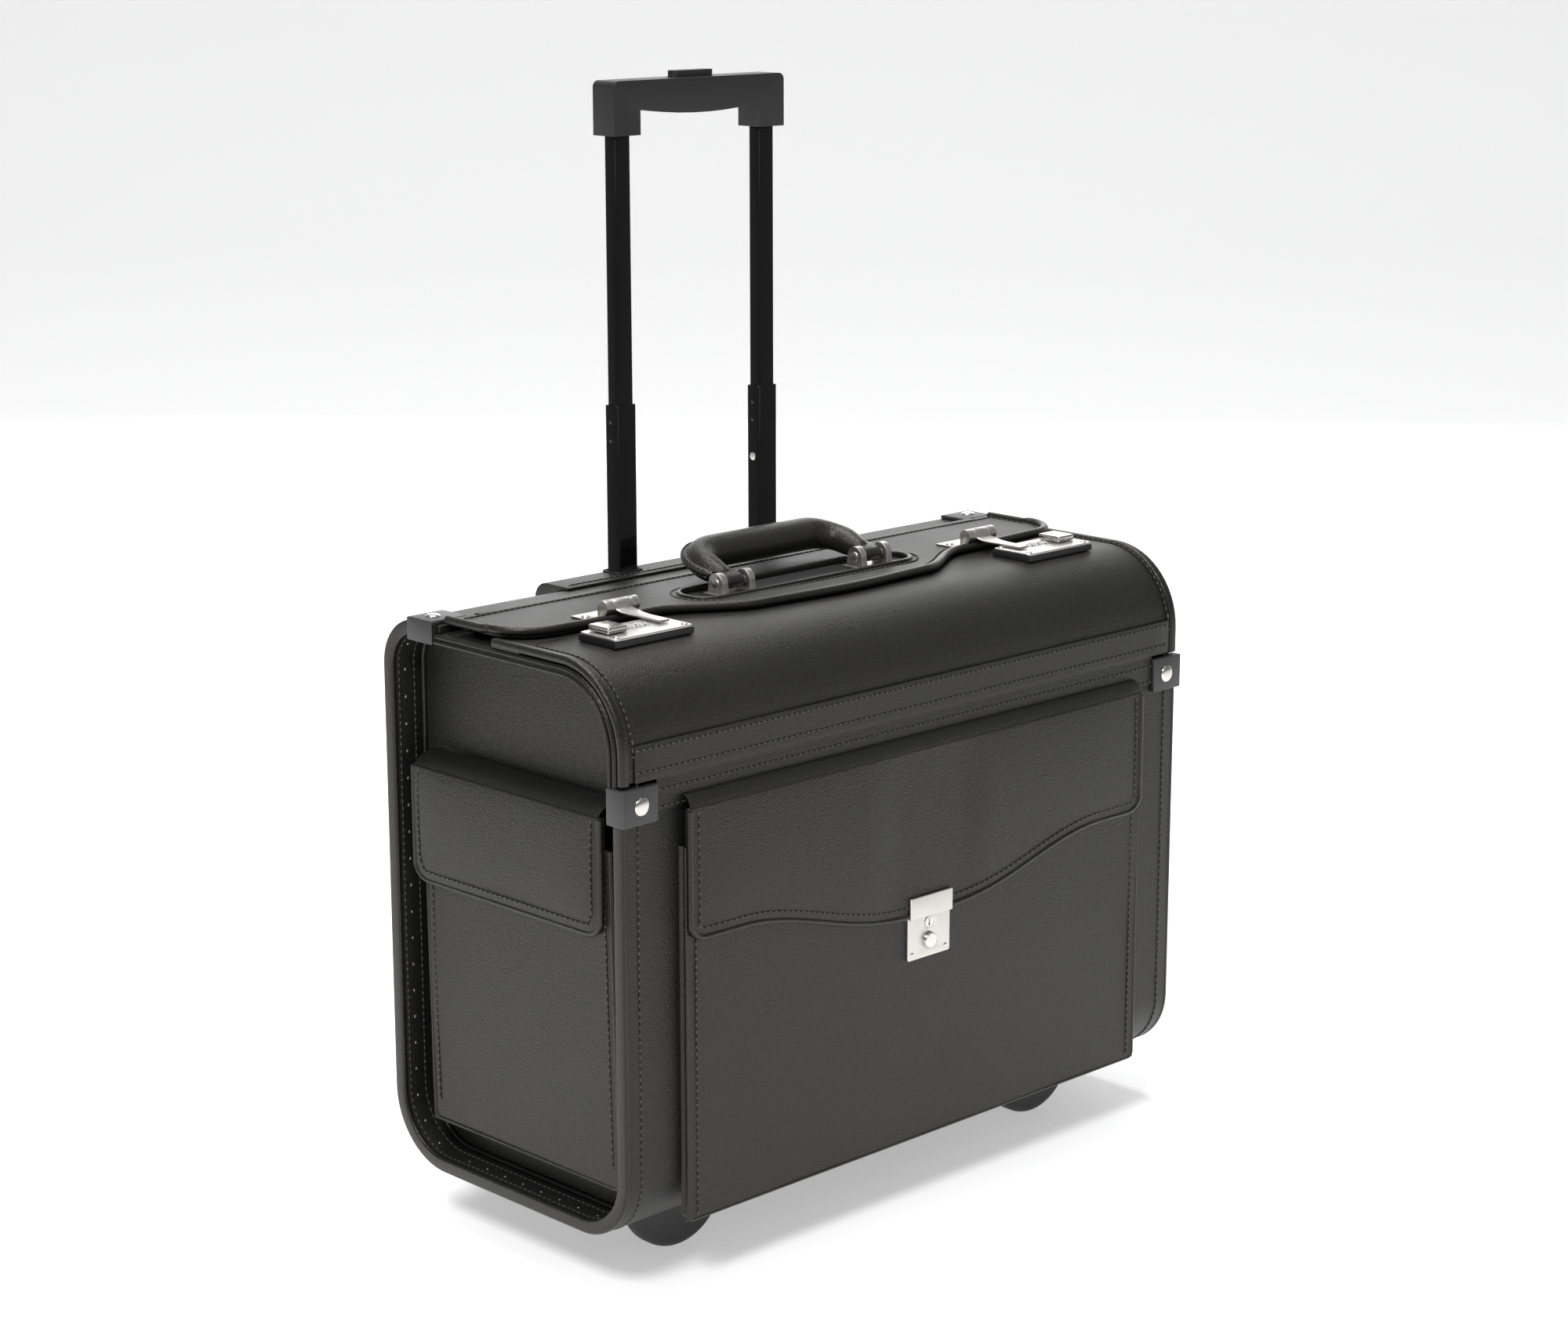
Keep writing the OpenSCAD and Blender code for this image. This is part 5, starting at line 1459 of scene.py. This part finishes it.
class CASE_OT_side_pockets(bpy.types.Operator):
    """Builds the two end pockets with their flaps"""
    bl_idname = "flight_case.side_pockets"
    bl_label = "Side pockets"

    def execute(self, context):
        size = 1000 * context.scene.case_sizes.undulation
        z0, z1 = (1000 * v.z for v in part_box("side_pockets"))
        x_face = 1000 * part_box("side_pockets")[1].x
        x_back = X_PANEL + 3
        bottom, top = (Y_FRONT + 10.5, Y_REAR - 28), (Y_FRONT + 15.5, Y_REAR - 25)
        faces_made, gussets, rows, edges = [], [], [], []
        for _, s in SIDES:
            def place(u, v, h, s=s):
                y0 = top[0] + (bottom[0] - top[0]) * v
                y1 = top[1] + (bottom[1] - top[1]) * v
                return (s * (x_face - 2 + h), y0 + (y1 - y0) * u, z1 + (z0 - z1) * v)

            faces_made.append(solid("face", *grid_pad(Patch(160, 190, place), 24, 26, 2, 0.9, 0.0, size)))
            run = []
            for v in np.linspace(0, 0.97, 24):
                p = place(0, v, 0)
                run.append((p[1] + 1.2, p[2], -1, 0))
            for a in range(15, 90, 15):
                c, q = math.cos(math.radians(a)), math.sin(math.radians(a))
                run.append((bottom[0] + 6 - 4.8 * c, z0 + 6 - 4.8 * q, -c, -q))
            run += [(y, z0 + 1.2, 0, -1) for y in np.linspace(bottom[0] + 7, bottom[1] - 7, 20)]
            for a in range(75, 0, -15):
                c, q = math.cos(math.radians(a)), math.sin(math.radians(a))
                run.append((bottom[1] - 6 + 4.8 * c, z0 + 6 - 4.8 * q, c, -q))
            for v in np.linspace(0.97, 0, 24):
                p = place(1, v, 0)
                run.append((p[1] - 1.2, p[2], 1, 0))
            path = [((0, y, z), (0, ny, nz), (s, 0, 0)) for y, z, ny, nz in run]
            depth = x_face - x_back
            outer, inner = [], []
            for i in range(9):
                t = i / 8
                fold = 0.4 - 2.4 * (i % 4 == 2) - 1.2 * (i % 2 == 1)
                outer.append((fold, x_back + 0.1 + (depth - 1.2) * t))
                inner.append((fold - 1.1, x_back + 0.1 + (depth - 1.2) * t))
            gussets.append(solid("gusset", *sweep(path, outer + inner[::-1])))
            line = [(s * (x_face - 0.5), y - 0.5 * ny, z - 0.6 * nz) for y, z, ny, nz in run]
            edges.append(line)
            rows.append([(s * (x_face + 0.1), y - 5.5 * ny, z) for y, z, ny,
                nz in run if z0 + 8 < z < z1 - 2 and ny < 0])
            rows.append([(s * (x_face + 0.1), y - 5.5 * ny, z) for y, z, ny,
                nz in run if z0 + 8 < z < z1 - 2 and ny > 0])
        settle(joined(faces_made), "side_pocket_faces", "covering", "case", ("side_pockets",), "covering")
        settle(joined(gussets), "side_pocket_gussets", "binding", "case", (), "covering", 50)
        piping("side_pocket_piping", edges, "case", 1.1)
        stitches("side_pocket_stitches", rows, "case")
        for side, s in SIDES:
            self.flap(side, s, size)
        return {"FINISHED"}

    def flap(self, side, s, size):
        low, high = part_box(f"{side}_side_flap")
        y0, y1 = 1000 * low.y, 1000 * high.y
        z0, z1 = 1000 * low.z, 1000 * high.z
        x_in = 1000 * min(abs(low.x), abs(high.x))
        t = 1000 * (high.x - low.x)
        corner = 12

        def lower(y):
            over = max(y0 + corner - y, y - (y1 - corner), 0)
            return z0 + corner - math.sqrt(max(0, corner ** 2 - over ** 2))

        def crown(u, v):
            return 1 + 1.2 * (1 - min(1, abs(2 * u - 1)) ** 8) * math.sin(math.pi * min(1, max(0, v))) ** 0.6

        def on_face(y, z):
            return (s * (x_in + t * crown((y - y0) / (y1 - y0), (z1 - z) / (z1 - lower(y))) + 0.1), y, z)

        def place(u, v, h):
            y = y0 + (y1 - y0) * u
            return (s * (x_in + h * crown(u, v)), y, z1 + (lower(y) - z1) * v)

        flap = solid("flap", *grid_pad(Patch(y1 - y0, 68, place), 60, 14, t, 0.9, 0.0, 1.6 * size))
        settle(flap, f"{side}_side_flap_cover", "covering", f"{side}_flap", (f"{side}_side_flap",),
            "covering")
        ys = np.linspace(y0 + 1, y1 - 1, 60)
        edge = [(s * (x_in + t - 0.9), y0 + 0.9, z) for z in np.linspace(z1 - 1, lower(y0 + 1) + 2, 8)]
        edge += [(s * (x_in + t - 0.9), y, lower(y) + 0.9) for y in ys]
        edge += [(s * (x_in + t - 0.9), y1 - 0.9, z) for z in np.linspace(lower(y1 - 1) + 2, z1 - 1, 8)]
        piping(f"{side}_side_flap_piping", [edge], f"{side}_flap", 1.9)
        under = [(s * (x_in - 0.8), y, z + 0.4) for x, y, z in edge]
        piping(f"{side}_side_flap_backing", [under], f"{side}_flap", 1.2)
        row = [on_face(y0 + 6.5, z) for z in np.linspace(z1 - 3, z0 + 14, 20)]
        row += [on_face(y, lower(y) + 6.5) for y in np.linspace(y0 + 10, y1 - 10, 50)]
        row += [on_face(y1 - 6.5, z) for z in np.linspace(z0 + 14, z1 - 3, 20)]
        stitches(f"{side}_side_flap_stitches", [row], f"{side}_flap")
        hinge = []
        for i in range(11):
            t1 = i / 10
            a = t1 * math.pi / 2
            hinge.append(((s * (x_in + t - 0.5 - 15.4 * (1 - math.cos(a))), 0, z1 - 3 + 10 * math.sin(a)),
                (0, 1, 0), (s, 0, 0)))
        strip = solid("strip", *sweep(hinge, rounded_section(y0 + 2, y1 - 2, -0.5, 0.6, 0.4, 2, 14)))
        settle(strip, f"{side}_side_hinge_strip", "covering", None, (), "covering")
        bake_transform(strip)


# ---- Clamps, trolley, wheels and feet ----

class CASE_OT_clamps(bpy.types.Operator):
    """Builds the moulded corner clamps and their rivets"""
    bl_idname = "flight_case.clamps"
    bl_label = "Clamps"

    def execute(self, context):
        refined("corner_clamp_shells", "corner_clamps", "clamp", "case", 0.9, 3, "black_plastic", 50)
        front = [((s * (X_EDGE - 12), Y_FRONT - 3, Z_HINGE - 12), (0, -1, 0)) for _, s in SIDES]
        top = [((s * (X_EDGE - 9), Y_REAR - 35, Z_TOP + 2.5), (0, 0, 1)) for _, s in SIDES]
        heads("clamp_rivet_heads", front, "case", 5.4, 1.6, "nickel_bright", ("clamp_rivets",))
        heads("clamp_rivet_heads_top", top, "case", 4.6, 1.4, "nickel_bright")
        return {"FINISHED"}


class CASE_OT_trolley(bpy.types.Operator):
    """Builds the trolley's cover, tubes, grip and release button"""
    bl_idname = "flight_case.trolley"
    bl_label = "Trolley"

    def tube(self, name, cad, body, w, d, t, r, material="lacquer"):
        low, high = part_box(cad)
        z0, z1 = 1000 * low.z, 1000 * high.z
        made = []
        for s in (-1, 1):
            outer = rounded_section(-w / 2, w / 2, -d / 2, d / 2, r, 5)
            inner = rounded_section(-w / 2 + t, w / 2 - t, -d / 2 + t, d / 2 - t, max(0.3, r - t), 5)
            n = len(outer)
            verts = [(s * TUBE_X + u, TUBE_Y + v, z) for z,
                loop in ((z0, outer), (z1 - 0.3, outer), (z1, [(u * 0.98, v * 0.97) for u, v in outer]),
                     (z1, inner), (z0, inner)) for u, v in loop]
            faces = []
            for i in range(5):
                a, b = i * n, (i + 1) % 5 * n
                for k in range(n):
                    m = (k + 1) % n
                    faces.append((a + k, a + m, b + m, b + k))
            made.append(solid("tube", verts, faces))
        return settle(joined(made), name, material, body, (cad,),
            "black_lacquer" if material == "lacquer" else "black_plastic", 50)

    def execute(self, context):
        refined("trolley_hood", "trolley_cover", "covering", "case", 2.4, 4, "covering")
        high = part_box("trolley_cover")[1]
        z = 1000 * high.z
        half = 1000 * high.x
        rows = [[(x, 79, z + 0.1) for x in np.linspace(6 - half, half - 6, 40)]]
        stitches("trolley_hood_stitches", rows, "case")
        collars = []
        for _, s in SIDES:
            loop = rounded_section(-10.6, 10.6, -7.6, 7.6, 2.4, 4)
            path = []
            for (u, v) in loop:
                size = math.hypot(u, v)
                path.append(((s * TUBE_X + u * 0.93, TUBE_Y + v * 0.9, z), (u / size, v / size, 0),
                    (0, 0, 1)))
            collars.append(solid("collar", *sweep(path, rounded_section(-0.9, 0.9, -1.0, 1.1, 0.6, 3), True)))
        settle(joined(collars), "tube_collars", "plastic", "case", (), "black_plastic")
        self.tube("trolley_sleeves", "outer_tubes", "case", 18.4, 13.4, 0.9, 1.6, "plastic")
        self.tube("trolley_middle_tubes", "middle_tubes", "trolley_middle", 16, 11, 0.8, 2.0)
        self.tube("trolley_inner_tubes", "inner_tubes", "trolley_inner", 13.4, 8.8, 0.9, 1.8)
        refined("trolley_foot_block", "trolley_foot", "plastic", "case", 0.6, 2, "black_plastic")
        refined("trolley_grip_shell", "trolley_grip", "plastic", "trolley_inner", 1.8, 4, "black_plastic", 40)
        refined("trolley_release_button", "trolley_button", "plastic", "trolley_release", 0.9, 3,
            "black_plastic", 40)
        points = [((s * (TUBE_X - 8), TUBE_Y, 415), (-s, 0, 0)) for _, s in SIDES]
        heads("middle_tube_catches", points, "trolley_middle", 2.5, 0.35, "nickel")
        dents = [((s * TUBE_X - 8, TUBE_Y, 1000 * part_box("middle_tubes")[1].z - h), (-1, 0, 0))
                 for _, s in SIDES for h in (10, 21)]
        heads("middle_tube_crimps", dents, "trolley_middle", 1.3, 0.18, "lacquer")
        return {"FINISHED"}


class CASE_OT_wheels(bpy.types.Operator):
    """Builds the wheels, housings, axles, front feet and screws"""
    bl_idname = "flight_case.wheels"
    bl_label = "Wheels and feet"

    def execute(self, context):
        refined("wheel_housing_shells", "wheel_housings", "plastic", "case", 0.7, 2, "black_plastic", 50)
        refined("wheel_axle_rods", "axles", "steel_pin", "case", 0.5, 2, "nickel")
        for side, s in SIDES:
            self.wheel(side, s)
        refined("front_foot_pads", "front_feet", "rubber", "case", 0.6, 2, "black_plastic", 50)
        z = 1000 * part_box("base_screws")[0].z
        points = [((s * FOOT_X + e * 40, Y_FRONT + 49, z + 1), (0, 0, -1)) for _, s in SIDES for e in (-1, 1)]
        heads("foot_screw_heads", points, "case", 2.8, 1.0, "steel_pin", ("base_screws",))
        return {"FINISHED"}

    def wheel(self, side, s):
        x, y, z = s * WHEEL_X, WHEEL_Y, WHEEL_R
        tyre = [(-11, 23), (-11, 25.2), (-10.2, 26.8), (-8.6, 27.7), (-6.5, 28)]
        tyre += [(-3.2, 28), (-2.8, 27.5), (-2.4, 27.5), (-2.0, 28)]
        tyre += [(-u, r) for u, r in reversed(tyre)]
        self.turned_part(f"{side}_tyre_tread", tyre, x, y, z, "rubber", f"{side}_wheel", f"{side}_tyre",
            "rubber")
        hub = [(-11, 4.05), (-11, 7.6), (-10.6, 8), (-8.2, 8.2), (-7.9, 9), (-7.9, 18.6), (-8.4, 19.6),
            (-10.6, 20), (-11, 20.5), (-11, 22.95)]
        hub += [(-u, r) for u, r in reversed(hub)]
        self.turned_part(f"{side}_wheel_hub", hub, x, y, z, "hub", f"{side}_wheel", f"{side}_hub",
            "black_plastic")
        spokes = []
        for k in range(5):
            a = 2 * math.pi * k / 5
            c, q = math.cos(a), math.sin(a)
            ring = [(y + r * c - w * q, z + r * q + w * c) for r,
                w in ((7.5, -2), (19.8, -1.4), (19.8, 1.4), (7.5, 2))]
            spokes.append(bevelled(solid("spoke",
                *sweep([((x + d, 0, 0), (0, 1, 0), (0, 0, 1)) for d in (-9.8, 9.8)], ring)), 0.5, 2))
        settle(joined(spokes), f"{side}_wheel_spokes", "hub", f"{side}_wheel", (), "black_plastic")

    def turned_part(self, name, profile, x, y, z, material, body, cad, slot, count=72):
        verts = [(x + u, y + r * math.cos(2 * math.pi * k / count), z + r * math.sin(2 * math.pi * k / count))
                 for u, r in profile for k in range(count)]
        faces = []
        n = len(profile)
        for i in range(n):
            a, b = i * count, (i + 1) % n * count
            for k in range(count):
                m = (k + 1) % count
                faces.append((a + k, a + m, b + m, b + k))
        return settle(solid(name, verts, faces), name, material, body, (cad,), slot, 35)


# ---- Stage ----

class CASE_OT_stage(bpy.types.Operator):
    """Sets up the floor, soft lights and camera"""
    bl_idname = "flight_case.stage"
    bl_label = "Stage"

    def execute(self, context):
        scene = context.scene
        mesh = bpy.data.meshes.new("floor")
        rows = [(-6, 0), (3.0, 0), (4.0, 0.12), (4.8, 0.5), (5.3, 1.2), (5.6, 4.5)]
        turn = math.radians(-44)
        side, away = Vector((math.cos(turn), math.sin(turn), 0)), Vector((-math.sin(turn), math.cos(turn), 0))
        verts = [side * w + away * d + Vector((0, 0, h - 0.0002)) for d, h in rows for w in (-9, 9)]
        mesh.from_pydata(verts, [], [(2 * i, 2 * i + 1, 2 * i + 3, 2 * i + 2) for i in range(len(rows) - 1)])
        mesh.shade_smooth()
        floor = bpy.data.objects.new("floor", mesh)
        scene.collection.objects.link(floor)
        shader = begin_material("paper", 0.9)[1]
        shader.inputs["Base Color"].default_value = (0.93, 0.93, 0.935, 1)
        shader.inputs["Specular IOR Level"].default_value = 0.1
        shader.inputs["Emission Color"].default_value = (1, 1, 1, 1)
        shader.inputs["Emission Strength"].default_value = 0.4
        floor.data.materials.append(MATS["paper"])
        world = bpy.data.worlds.new("studio")
        scene.world = world
        world.use_nodes = True
        world.node_tree.nodes["Background"].inputs[0].default_value = (1, 1, 1, 1)
        world.node_tree.nodes["Background"].inputs[1].default_value = 0.24
        for name, place, size, power, target in (
                ("key", (-2.0, -0.9, 2.7), 0.9, 62, (0, 0, 0.25)),
                ("fill", (-0.4, -2.8, 2.2), 1.4, 6, (0, 0, 0.2)),
                ("top", (0.2, 0.5, 2.7), 1.2, 44, (0, 0, 0.3)),
                ("glance", (1.9, 1.75, 1.1), 1.8, 15, (0, 0, 0.36))):
            lamp = bpy.data.lights.new(name, "AREA")
            lamp.energy = power
            lamp.size = size
            obj = bpy.data.objects.new(name, lamp)
            obj.location = place
            obj.rotation_euler = (Vector(target) - Vector(place)).to_track_quat("-Z", "Y").to_euler()
            obj.visible_camera = False
            scene.collection.objects.link(obj)
        camera = bpy.data.cameras.new("camera")
        camera.sensor_width = 36
        camera.lens = 75.56
        camera.clip_start, camera.clip_end = 0.05, 50
        obj = bpy.data.objects.new("camera", camera)
        obj.location = (-1.3363, -1.3609, 0.7534)
        obj.rotation_mode = "QUATERNION"
        aim = Euler((math.radians(90 - 13.274), 0, math.radians(-44.237))).to_quaternion()
        obj.rotation_quaternion = aim @ Quaternion((0, 0, 1), math.radians(-0.09))
        scene.collection.objects.link(obj)
        scene.camera = obj
        scene.view_settings.view_transform = "Standard"
        return {"FINISHED"}


class CASE_PT_panel(bpy.types.Panel):
    bl_idname = "CASE_PT_panel"
    bl_label = "Flight Case"
    bl_space_type = "VIEW_3D"
    bl_region_type = "UI"
    bl_category = "Flight Case"

    def draw(self, context):
        layout = self.layout
        for group in (context.scene.case_finish, context.scene.case_sizes):
            for prop in group.bl_rna.properties:
                if prop.identifier not in ("rna_type", "name"):
                    layout.prop(group, prop.identifier)
        for operator in OPERATORS:
            layout.operator(operator.bl_idname)


OPERATORS = (
    CASE_OT_finishes, CASE_OT_node_trees, CASE_OT_shell, CASE_OT_end_frames, CASE_OT_front_lid,
    CASE_OT_front_band,
    CASE_OT_rear_flap, CASE_OT_carry_handle, CASE_OT_locks, CASE_OT_hasps, CASE_OT_front_pocket,
    CASE_OT_side_pockets,
    CASE_OT_clamps, CASE_OT_trolley, CASE_OT_wheels, CASE_OT_stage)
CLASSES = (FinishSettings, SizeSettings) + OPERATORS + (CASE_PT_panel,)


def register():
    for cls in CLASSES:
        bpy.utils.register_class(cls)
    bpy.types.Scene.case_finish = bpy.props.PointerProperty(type=FinishSettings)
    bpy.types.Scene.case_sizes = bpy.props.PointerProperty(type=SizeSettings)


def unregister():
    del bpy.types.Scene.case_sizes
    del bpy.types.Scene.case_finish
    for cls in reversed(CLASSES):
        bpy.utils.unregister_class(cls)


def main():
    register()
    for operator in OPERATORS:
        group, name = operator.bl_idname.split(".")
        getattr(getattr(bpy.ops, group), name)()


if __name__ == "__main__":
    main()
